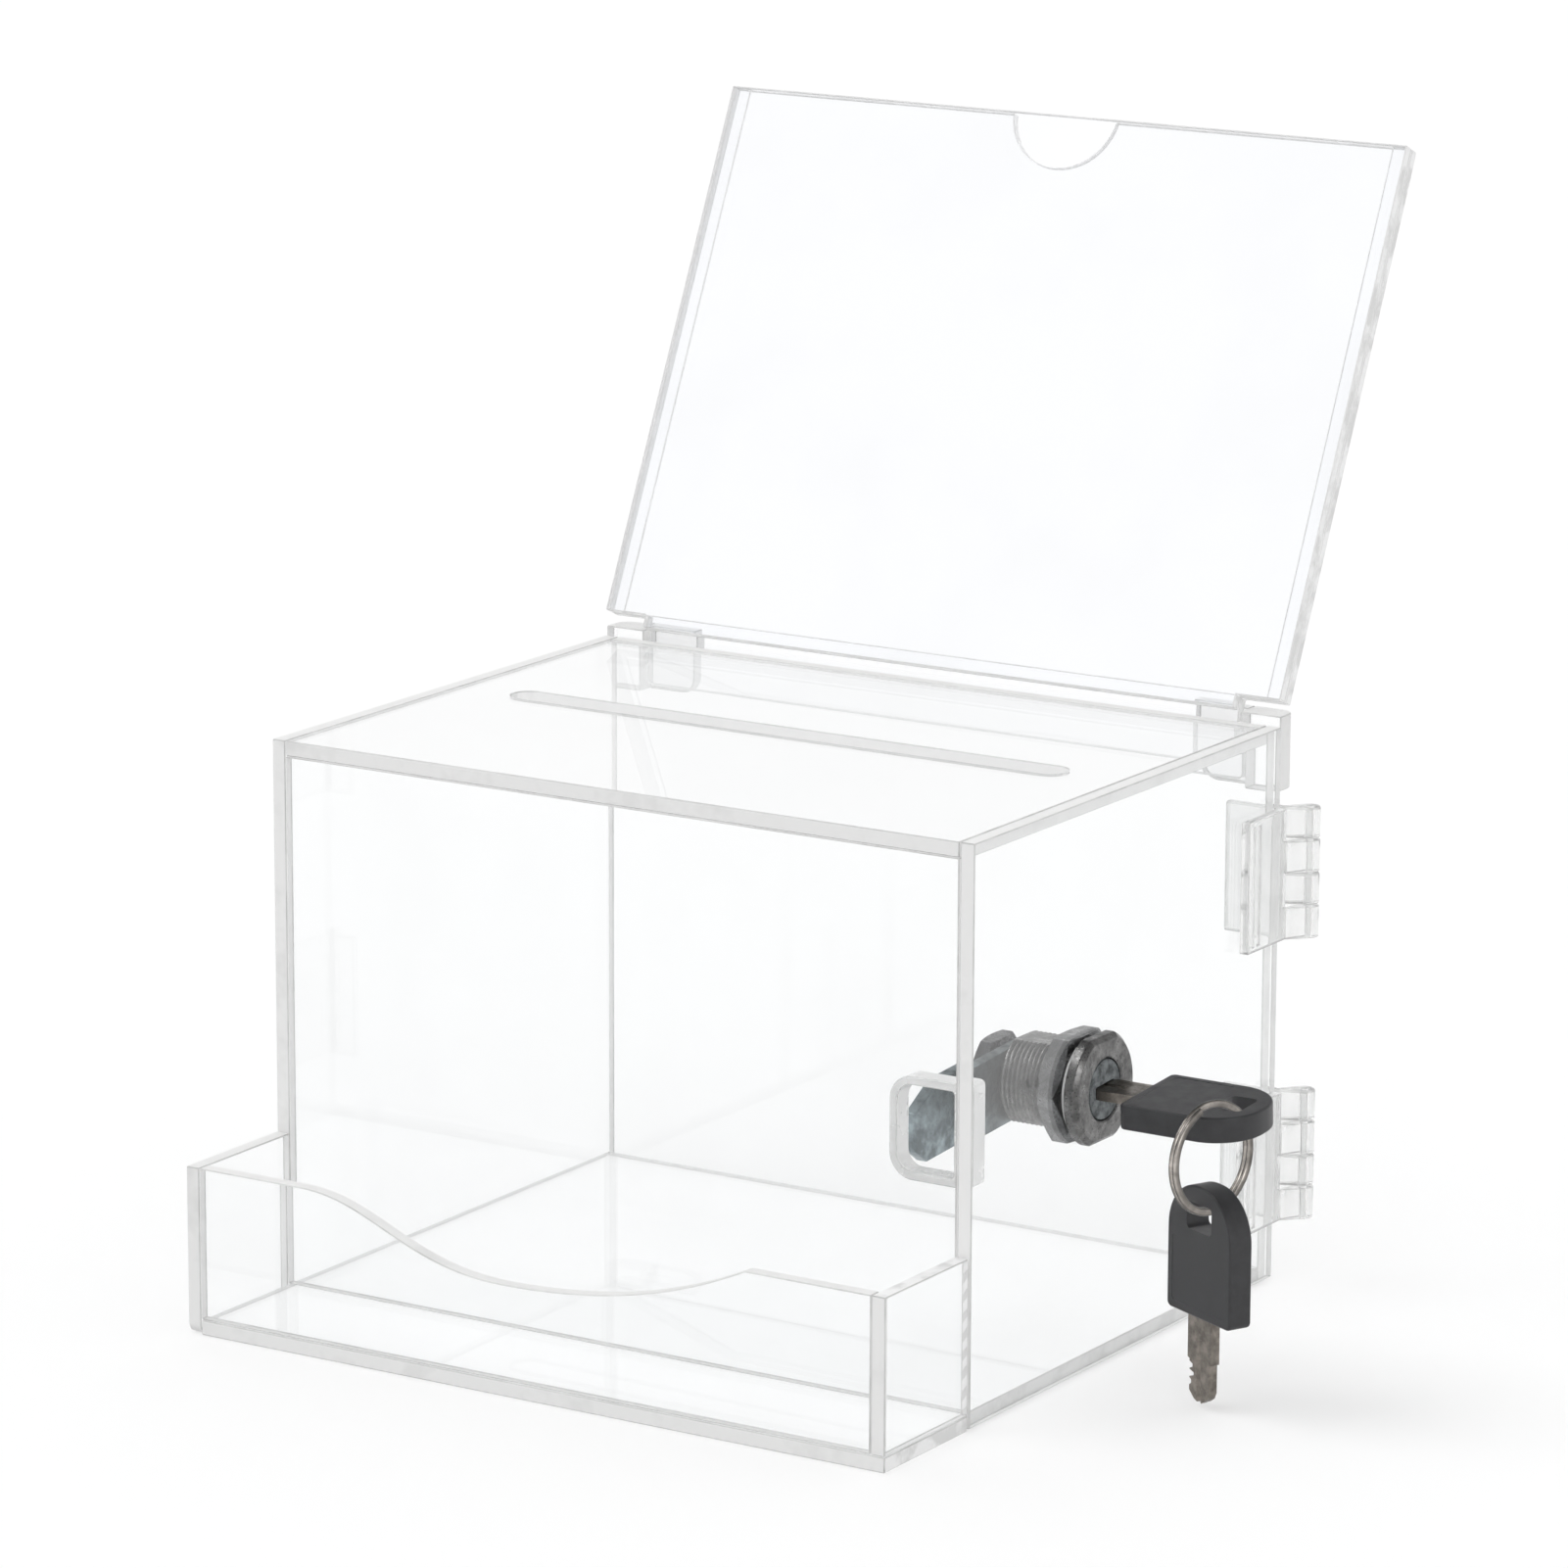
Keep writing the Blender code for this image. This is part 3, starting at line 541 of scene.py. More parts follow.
def make_arris(name):
    """The narrow broken edge between a sheet's face and its cut edge, painted grey as painted
    shade for the dark line along it.
    """
    arris = settings().acrylic.arris
    light = [channel * 1.25 for channel in arris]
    return make_edge(name, 130, 0.38, 0.6, arris, light, 0.2)


def make_pale_arris(name):
    """The sign holder's broken edges, painted grey as painted shade, and painted paler than the
    other arrises as painted light from the white behind.
    """
    return make_edge(name, 130, 0.38, 0.6, (0.72, 0.72, 0.716), (0.82, 0.82, 0.816), 0.2)


def make_sawn_edge(name):
    """Edge with slanted saw marks."""
    material, tree, shader, place = start_material(name, 0.4, transmission=0.15)
    wave = new_node(tree, "ShaderNodeTexWave", Scale=95.0, Distortion=1.2, Detail=2.0)
    wave.inputs["Detail Scale"].default_value = 3.0
    wave.bands_direction = "Z"
    slanted = tree.nodes.new("ShaderNodeMapping")
    slanted.inputs["Rotation"].default_value = (0, math.radians(28), 0)
    tree.links.new(place, slanted.inputs["Vector"])
    tree.links.new(slanted.outputs["Vector"], wave.inputs["Vector"])
    colour = ramped(tree, wave.outputs["Fac"], (0.35, (0.74, 0.74, 0.735)),
                    (0.6, (0.96, 0.96, 0.96)))
    tree.links.new(colour, shader.inputs["Base Color"])
    bumped(tree, shader, wave.outputs["Fac"], 0.0001)
    passed_by(tree, shader, (0.9, 0.9, 0.9))
    return material


def make_milky_plastic(name):
    """Milky moulded plastic of the strike, which hides what is behind it."""
    material, tree, shader, place = start_material(name, 0.25, transmission=0.3)
    patches = mottled(tree, place, 120, 0.38, 0.66, (0.86, 0.86, 0.855), (0.93, 0.93, 0.925))
    coloured(tree, shader, patches, (0.18, 0.34))
    passed_by(tree, shader, (0.85, 0.85, 0.85))
    return material


def make_moulded_clear(name):
    """Clear moulded plastic of the hinges, a little cloudier than the sheets."""
    material, tree, shader, place = start_material(name, 0.04, transmission=0.85)
    patches = mottled(tree, place, 160, 0.4, 0.65, (0.95, 0.952, 0.95), (0.91, 0.912, 0.91))
    coloured(tree, shader, patches)
    grained(tree, shader, place, 200.0, 1.0, 0.000004)
    passed_by(tree, shader, (0.94, 0.942, 0.94))
    return material


def make_moulded_edge(name):
    """Rounded edges of the moulded plastic, painted greyer than its faces as painted shade for
    the dark outlines of its rounded sides.
    """
    material, tree, shader, place = start_material(name, 0.25, transmission=0.55)
    patches = mottled(tree, place, 240, 0.4, 0.62, (0.7, 0.7, 0.695), (0.84, 0.84, 0.835))
    coloured(tree, shader, patches)
    passed_by(tree, shader, (0.7, 0.702, 0.7))
    return material


def make_metal(name, colour, scale, contrast, roughness, specks=0.0, mirrored=True):
    """Worn plated metal: cloudy tone, fine grain and, if asked, dark specks.

    With mirrored off it stays out of the faint reflections in the sheets.
    """
    rough_low, rough_high = roughness
    material, tree, shader, place = start_material(name, rough_low, metallic=1.0)
    dark = [channel * (1 - contrast) for channel in colour]
    light = [min(1.0, channel * (1 + contrast)) for channel in colour]
    clouds = mottled(tree, place, scale, 0.36, 0.66, dark, light)
    colour_out = clouds.outputs["Colour"]
    if specks > 0:
        cells = new_node(tree, "ShaderNodeTexVoronoi", Scale=1400.0, Randomness=1.0)
        tree.links.new(place, cells.inputs["Vector"])
        near = new_node(tree, "ShaderNodeMapRange", From_Min=0.12, From_Max=0.3)
        tree.links.new(cells.outputs["Distance"], near.inputs["Value"])
        colour_out = multiplied(tree, colour_out, near.outputs["Result"], specks)
    tree.links.new(colour_out, shader.inputs["Base Color"])
    rough = ranged(tree, clouds.outputs["Mask"], rough_high, rough_low)
    tree.links.new(rough, shader.inputs["Roughness"])
    grained(tree, shader, place, 2200.0, 2.0, 0.00002, 0.6)
    if not mirrored:
        passed_by(tree, shader, (1, 1, 1), lamps=False)
    return material


def make_casting(name):
    return make_metal(name, settings().lock.casting, 420, 0.36, (0.22, 0.4), specks=0.5)


def make_nut_steel(name):
    return make_metal(name, (0.125, 0.127, 0.129), 350, 0.4, (0.2, 0.38), specks=0.4)


def make_dark_steel(name):
    return make_metal(name, (0.055, 0.057, 0.061), 400, 0.5, (0.2, 0.4))


def make_cam_zinc(name):
    """Zinc plated steel, with painted shade that darkens it towards the lock's axis."""
    material = make_metal(name, settings().lock.cam, 330, 0.38, (0.36, 0.55), specks=0.3)
    tree = material.node_tree
    # painted shade: the colour darkens towards the lock's axis, as the cam's middle lies in shade
    split = tree.nodes.new("ShaderNodeSeparateXYZ")
    tree.links.new(tree.nodes.new("ShaderNodeTexCoord").outputs["Object"], split.inputs[0])
    painted_shade = new_node(tree, "ShaderNodeMapRange", From_Min=lock_y - 0.024,
                      From_Max=lock_y - 0.006, To_Min=1.0, To_Max=0.55)
    tree.links.new(split.outputs["Y"], painted_shade.inputs["Value"])
    return toned(material, painted_shade.outputs["Result"])


def make_plug_zinc(name):
    return make_metal(name, (0.105, 0.115, 0.119), 600, 0.45, (0.3, 0.5), specks=0.3)


def make_blade_steel(name):
    return make_metal(name, settings().keys.steel, 500, 0.3, (0.28, 0.45), mirrored=False)


def make_ring_steel(name):
    """Plated wire, with a painted highlight along its middle and painted shade at its sides."""
    base = settings().keys.ring_steel
    material = make_metal(name, base, 300, 0.35, (0.1, 0.22), mirrored=False)
    tree = material.node_tree
    # painted shade: the base colour darkens where the wire turns away from view, leaving a
    # painted highlight along its middle
    side = new_node(tree, "ShaderNodeLayerWeight", Blend=0.5)
    shade = ramped(tree, side.outputs["Facing"], (0.1, (1, 1, 1)), (0.55, (0.1, 0.095, 0.09)))
    return toned(material, shade)


def make_key_plastic(name):
    """Black moulded plastic with a fine matte grain and paler worn patches."""
    base = settings().keys.plastic
    worn = [channel * 1.7 for channel in base]
    material, tree, shader, place = start_material(name, 0.5)
    coloured(tree, shader, mottled(tree, place, 260, 0.4, 0.75, base, worn), (0.42, 0.58))
    grained(tree, shader, place, 3200.0, 2.0, 0.00003, 0.7)
    passed_by(tree, shader, (1, 1, 1), lamps=False)
    return material


finishes = {
    "sheet acrylic": make_sheet_acrylic,
    "sign acrylic": make_sign_acrylic,
    "shaded lid acrylic": make_shaded_lid_acrylic,
    "bracket acrylic": make_bracket_acrylic,
    "arris": make_arris,
    "pale arris": make_pale_arris,
    "moulded edge": make_moulded_edge,
    "cut edge": make_cut_edge,
    "painted lit edge": make_painted_lit_edge,
    "shaded edge": make_shaded_edge,
    "flamed edge": make_flamed_edge,
    "sawn edge": make_sawn_edge,
    "moulded clear": make_moulded_clear,
    "milky plastic": make_milky_plastic,
    "casting": make_casting,
    "nut steel": make_nut_steel,
    "dark steel": make_dark_steel,
    "cam zinc": make_cam_zinc,
    "plug zinc": make_plug_zinc,
    "blade steel": make_blade_steel,
    "ring steel": make_ring_steel,
    "key plastic": make_key_plastic,
}


def finish(name):
    """The material of that name, made when it is first asked for."""
    if name not in bpy.data.materials:
        finishes[name](name)
    return bpy.data.materials[name]


# Shapes


def cuboid(low, high):
    shape = bmesh.new()
    low = Vector(low)
    high = Vector(high)
    place = Matrix.LocRotScale((low + high) / 2, None, high - low)
    bmesh.ops.create_cube(shape, size=1, matrix=place)
    return shape


def on_plane(plane, across, up, depth):
    """A point given in a plane and its distance along the third axis."""
    if plane == "XY":
        return Vector((across, up, depth))
    if plane == "XZ":
        return Vector((across, depth, up))
    return Vector((depth, across, up))


def prism(outline, plane, start, end, rounds=()):
    """An outline's face, with some corners rounded, extruded from start to end.

    Each of rounds is (corner numbers, radius, segments).
    """
    shape = bmesh.new()
    corners = [shape.verts.new(on_plane(plane, a, b, start)) for a, b in outline]
    shape.faces.new(corners)
    for numbers, radius, segments in rounds:
        bmesh.ops.bevel(
            shape,
            geom=[corners[number] for number in numbers],
            offset=radius,
            offset_type="OFFSET",
            segments=segments,
            profile=0.5,
            affect="VERTICES",
            material=-1,
            clamp_overlap=False,
        )
    grown = bmesh.ops.extrude_face_region(shape, geom=shape.faces[:])
    moved = [item for item in grown["geom"] if isinstance(item, bmesh.types.BMVert)]
    bmesh.ops.translate(shape, verts=moved, vec=on_plane(plane, 0, 0, end - start))
    bmesh.ops.recalc_face_normals(shape, faces=shape.faces)
    return shape


def rectangle(left, bottom, right, top):
    return [(left, bottom), (right, bottom), (right, top), (left, top)]


def ring_outline(centre, radius, steps, start=0.0, end=2 * math.pi, closed=True):
    """Points on a circle or, when not closed, on an arc with both its ends."""
    count = steps if closed else steps + 1
    turns = [start + (end - start) * step / steps for step in range(count)]
    return [
        (centre[0] + radius * math.cos(turn), centre[1] + radius * math.sin(turn))
        for turn in turns
    ]


def cylinder_x(radius, start, end, segments=64):
    """A cylinder on the lock's axis."""
    shape = bmesh.new()
    place = Matrix.Translation(((start + end) / 2, *lock_centre))
    bmesh.ops.create_cone(
        shape,
        cap_ends=True,
        segments=segments,
        radius1=radius,
        radius2=radius,
        depth=abs(end - start),
        matrix=place @ Matrix.Rotation(math.pi / 2, 4, "Y"),
    )
    return shape


def spun_x(profile, steps=96):
    """A closed profile of (x, radius) points spun once round the lock's axis."""
    shape = bmesh.new()
    points = [shape.verts.new((x, lock_y, lock_z + radius)) for x, radius in profile]
    edges = [
        shape.edges.new((points[index - 1], points[index]))
        for index in range(len(points))
    ]
    bmesh.ops.spin(
        shape,
        geom=points + edges,
        cent=lock_axis,
        axis=axis_x,
        angle=2 * math.pi,
        steps=steps,
        use_merge=True,
    )
    bmesh.ops.remove_doubles(shape, verts=shape.verts, dist=touching)
    bmesh.ops.recalc_face_normals(shape, faces=shape.faces)
    return shape


def turned(shape, matrix):
    bmesh.ops.transform(shape, matrix=matrix, verts=shape.verts)
    return shape


def combined(shape, tool, operation):
    """Join two closed shapes, or cut one with the other, and give back the result."""
    items = []
    for part in (shape, tool):
        bmesh.ops.recalc_face_normals(part, faces=part.faces)
        mesh = bpy.data.meshes.new("workpiece")
        part.to_mesh(mesh)
        part.free()
        item = bpy.data.objects.new("workpiece", mesh)
        bpy.context.scene.collection.objects.link(item)
        items.append(item)
    change = items[0].modifiers.new("change", "BOOLEAN")
    change.operation = operation
    change.solver = "EXACT"
    change.object = items[1]
    result = bmesh.new()
    result.from_object(items[0], bpy.context.evaluated_depsgraph_get())
    for item in items:
        mesh = item.data
        bpy.data.objects.remove(item)
        bpy.data.meshes.remove(mesh)
    bmesh.ops.remove_doubles(result, verts=result.verts, dist=touching)
    if not result.faces:
        raise RuntimeError("a cut left nothing of its piece")
    return result


def with_flats(shape, start, end, width):
    """A round shape on the lock's axis with a flat above and one below."""
    reach = lock_head_radius + overrun
    flats = cuboid((start, lock_y - reach, lock_z - width / 2),
                   (end, lock_y + reach, lock_z + width / 2))
    return combined(shape, flats, "INTERSECT")


def with_bore(shape, low, high, radius, segments=48):
    """A shape with a hole through it on the lock's axis."""
    tool = cylinder_x(radius, low.x - overrun, high.x + overrun, segments)
    return combined(shape, tool, "DIFFERENCE")


def hexagon_nut(low, high, radius, chamfer):
    """A hexagon nut on the lock's axis, with its corners chamfered at both ends."""
    flats = radius * math.sqrt(3) / 2
    past = radius + 0.0003
    hexagon = prism(ring_outline(lock_centre, radius, 6), "YZ", low.x, high.x)
    cone = spun_x([
        (low.x, 0.001), (low.x, flats), (low.x + chamfer, past),
        (high.x - chamfer, past), (high.x, flats), (high.x, 0.001),
    ])
    return combined(hexagon, cone, "INTERSECT")


def sharp_edges(shape, test=None):
    """Edges whose faces meet at a clear angle and, with a test, that pass it."""
    shape.normal_update()
    return [
        edge
        for edge in shape.edges
        if edge.is_manifold
        and edge.calc_face_angle() > sharp_edge
        and (test is None or test(edge))
    ]


def bevelled(shape, width, segments=1, test=None, index=None):
    """Bevel the sharp edges; with an index, the new faces get that material."""
    made = bmesh.ops.bevel(
        shape,
        geom=sharp_edges(shape, test),
        offset=width,
        offset_type="OFFSET",
        segments=segments,
        profile=0.5,
        affect="EDGES",
        material=-1,
        clamp_overlap=True,
    )
    if index is not None:
        for face in made["faces"]:
            face.material_index = index
    return shape


def copy_of(node):
    """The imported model's piece as a shape, merged and with its flat faces whole."""
    shape = bmesh.new()
    shape.from_mesh(frame["nodes"][node].data)
    bmesh.ops.remove_doubles(shape, verts=shape.verts, dist=touching)
    bmesh.ops.dissolve_limit(
        shape,
        angle_limit=nearly_flat,
        verts=shape.verts,
        edges=shape.edges,
    )
    return shape


def add_piece(name, shape, materials, nodes, weighted=False):
    """Turn a shape into a piece that rides on the body of the nodes it stands for."""
    mesh = bpy.data.meshes.new(name)
    shape.to_mesh(mesh)
    shape.free()
    for material in materials:
        mesh.materials.append(finish(material))
    mesh.shade_smooth()
    mesh.set_sharp_from_angle(angle=sharp_edge)
    piece = bpy.data.objects.new(name, mesh)
    bpy.context.scene.collection.objects.link(piece)
    if weighted:
        normals = piece.modifiers.new("even shading", "WEIGHTED_NORMAL")
        normals.keep_sharp = True
    bodies = frame["record"]["behaviour"]["bodies"]
    body = [label for label, members in bodies.items() if nodes[0] in members][0]
    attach(piece, body)
    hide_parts(*nodes)


def add_sheet(name, shape, normal, node, marks=(), clear="sheet acrylic", arris="arris"):
    """A piece of sheet with chamfered edges, whose cut faces have their own finish.

    Each of marks gives some cut faces another finish: (finish, test for a face).
    """
    shape.normal_update()
    for face in shape.faces:
        if abs(face.normal.dot(normal)) < cut_face_tilt:
            face.material_index = 1
    finish_names = [clear, "cut edge", arris]
    for edge, test in marks:
        for face in shape.faces:
            if face.material_index == 1 and test(face):
                face.material_index = len(finish_names)
        finish_names.append(edge)
    bevelled(shape, settings().acrylic.chamfer, index=2)
    add_piece(name, shape, finish_names, [node], weighted=True)


def add_plain_sheet(name, node):
    """A rectangular sheet as large as its node, which is thinnest along its normal."""
    low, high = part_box(node)
    normal = min((axis_x, axis_y, axis_z), key=(high - low).dot)
    add_sheet(name, cuboid(low, high), normal, node)


class SUGGESTIONBOX_OT_box(bpy.types.Operator):
    """The bonded panels of the box and the lock's strike"""

    bl_idname = "suggestion_box.box"
    bl_label = "Box Panels"

    def execute(self, context):
        add_plain_sheet("left_sheet", "left_panel")
        add_plain_sheet("front_sheet", "front_panel")
        add_plain_sheet("rear_sheet", "rear_panel")
        self.add_lid()
        self.add_bottom()
        self.add_strike()
        return {"FINISHED"}

    def add_lid(self):
        middle = lid_low.y + slot_from_front
        end = rear_corner.x + sheet_thickness - slot_from_sides
        half = slot_width / 2
        nearly_half = half * 0.98
        tool = prism(
            rectangle(-end, middle - half, end, middle + half), "XY",
            lid_low.z - overrun, lid_high.z + overrun,
            [((0, 1, 2, 3), nearly_half, 12)],
        )
        lid = combined(cuboid(lid_low, lid_high), tool, "DIFFERENCE")

        def in_slot(face):
            return abs(face.calc_center_median().y - middle) < slot_width

        # painted light: the slot's rear wall gets the paler edge finish
        def bright(face):
            return in_slot(face) and face.normal.y < -0.3

        # painted shade: the slot's front wall and the lid's left edge get the darker edge finish
        def shaded(face):
            return face.normal.y > 0.3 if in_slot(face) else face.normal.x < -0.9

        add_sheet("lid_sheet", lid, axis_z, "top_panel",
                  [("painted lit edge", bright), ("shaded edge", shaded)], "shaded lid acrylic")

    def add_bottom(self):
        low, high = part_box("bottom_plate")
        body_right = rear_corner.x
        step_before_lid = 0.0004
        tray_back = lid_low.y - step_before_lid
        outline = [(low.x, low.y), (high.x, low.y), (high.x, tray_back),
                   (body_right, tray_back), (body_right, high.y), (low.x, high.y)]
        plate = prism(outline, "XY", low.z, high.z)

        def in_tray(face):
            return face.calc_center_median().y < tray_back

        # painted shade: the plate's right edge behind the door gets the darker edge finish
        add_sheet(
            "bottom_sheet", plate, axis_z, "bottom_plate",
            [("flamed edge", lambda face: face.normal.x > 0.9 and in_tray(face)),
             ("shaded edge", lambda face: face.normal.x > 0.9)],
        )

    def add_strike(self):
        low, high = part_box("lock_strike")

        def block(inset, beyond, small_round):
            return prism(
                rectangle(low.x + inset, low.z + inset, high.x - inset, high.z - inset),
                "XZ", low.y - beyond, high.y + beyond,
                [((0, 3), strike_round - inset, 10), ((1, 2), small_round, 4)],
            )

        hollow = block(strike_wall, overrun, 0.0008)
        strike = combined(block(0, 0, 0.001), hollow, "DIFFERENCE")
        bevelled(strike, settings().acrylic.chamfer, index=1)
        add_piece("strike_loop", strike, ["milky plastic", "moulded edge"], ["lock_strike"],
                  weighted=True)


class SUGGESTIONBOX_OT_tray(bpy.types.Operator):
    """The card tray's wavy front and its two ends"""

    bl_idname = "suggestion_box.tray"
    bl_label = "Card Tray"

    def execute(self, context):
        low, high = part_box("tray_front")
        wave = self.wave(low, high)
        outline = [(low.x, low.z), (low.x, high.z), *wave, (high.x, high.z), (high.x, low.z)]
        add_sheet("tray_wave_sheet", prism(outline, "XZ", low.y, high.y), axis_y, "tray_front")
        low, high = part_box("tray_left_end")
        outline = rectangle(low.y, low.z, high.y, high.z)
        end = prism(outline, "YZ", low.x, high.x, [((0,), 0.002, 8)])
        add_sheet("tray_left_sheet", end, axis_x, "tray_left_end")
        low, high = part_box("tray_right_end")
        add_sheet(
            "tray_right_sheet", cuboid(low, high), axis_x, "tray_right_end",
            [("sawn edge", lambda face: face.normal.y > 0.9),
             ("flamed edge", lambda face: face.normal.z > 0.9)],
        )
        return {"FINISHED"}

    def wave(self, low, high):
        """The dip in the front's upper edge, from left to right."""
        flat_left = 0.024
        flat_right = 0.0273
        depth = 0.0115
        start = low.x + flat_left
        length = high.x - flat_right - start

        def place(length_share, depth_share):
            return Vector((start + length * length_share, high.z - depth * depth_share, 0))

        bottom = place(0.46, 1)
        fall = interpolate_bezier(place(0, 0), place(0.16, 0), place(0.24, 1), bottom, 28)
        rise = interpolate_bezier(bottom, place(0.72, 1.0), place(0.88, 0.5), place(1, 0), 28)
        return [(point.x, point.y) for point in fall + rise[1:]]


class SUGGESTIONBOX_OT_door(bpy.types.Operator):
    """The side door, with the lock's hole in it"""

    bl_idname = "suggestion_box.door"
    bl_label = "Side Door"

    def execute(self, context):
        hole = cylinder_x(lock_body_radius + door_hole_clearance,
                          door_low.x - overrun, door_high.x + overrun)
        hole = with_flats(hole, door_low.x - 2 * overrun, door_high.x + 2 * overrun,
                          lock_body_flats + 2 * door_hole_clearance)
        door = combined(cuboid(door_low, door_high), hole, "DIFFERENCE")
        add_sheet("door_sheet", door, axis_x, "side_door")
        return {"FINISHED"}


class SUGGESTIONBOX_OT_hinges(bpy.types.Operator):
    """Both hinges, each with two leaves and a pin"""

    bl_idname = "suggestion_box.hinges"
    bl_label = "Hinges"

    def execute(self, context):
        for side in ("upper", "lower"):
            for leaf in ("door", "rear"):
                node = f"{side}_hinge_{leaf}_leaf"
                add_piece(f"{side}_{leaf}_leaf", self.rounded_leaf(node),
                          ["moulded clear", "moulded edge"], [node])
            node = side + "_hinge_pin"
            pin = bevelled(copy_of(node), 0.0002, 2)
            add_piece(side + "_pin", pin, ["moulded clear"], [node])
        return {"FINISHED"}

    def rounded_leaf(self, node):
        """A leaf with its outer edges rounded; a door leaf has two grooves in its face."""
        pin_low, pin_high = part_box(node.rsplit("_", 2)[0] + "_pin")
        centre = (pin_low + pin_high) / 2
        past_pin_hole = 0.0012

        def outside(edge):
            reaches = [math.hypot(v.co.x - centre.x, v.co.y - centre.y) for v in edge.verts]
            return min(reaches) > past_pin_hole

        leaf = copy_of(node)
        if node.endswith("door_leaf"):
            low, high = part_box(node)
            leaf_thickness = 0.0021
            groove_ends = 0.0012
            face = door_high.x + leaf_thickness
            for from_edge, width, depth in ((0.0016, 0.0005, 0.001), (0.0034, 0.0012, 0.0004)):
                start = low.y + from_edge
                groove = cuboid((face - depth, start, low.z + groove_ends),
                                (face + overrun, start + width, high.z - groove_ends))
                leaf = combined(leaf, groove, "DIFFERENCE")
        return bevelled(leaf, 0.0005, 3, outside, index=1)


class SUGGESTIONBOX_OT_sign(bpy.types.Operator):
    """The brackets behind the box and the sign holder that leans in them"""

    bl_idname = "suggestion_box.sign"
    bl_label = "Sign Holder"

    def execute(self, context):
        for side in ("left", "right"):
            for part, clear in (("block", "sheet acrylic"), ("plate", "bracket acrylic")):
                node = f"sign_bracket_{part}_{side}"
                add_sheet(f"bracket_{part}_{side}", copy_of(node), axis_y, node, clear=clear)
        leaning = Matrix.Rotation(-sign_lean, 4, "X").to_3x3() @ axis_y
        for label in ("front_sheet", "left_strip", "right_strip", "bottom_strip", "back_sheet"):
            node = "sign_" + label
            # painted light: the upward-facing cut edges get the paler edge finish
            add_sheet(
                "card_" + label, copy_of(node), leaning, node,
                [("painted lit edge", lambda face: face.normal.z > 0.5),
                 ("flamed edge", lambda face: face.normal.x > 0.9)],
                "sign acrylic", "pale arris",
            )
        return {"FINISHED"}


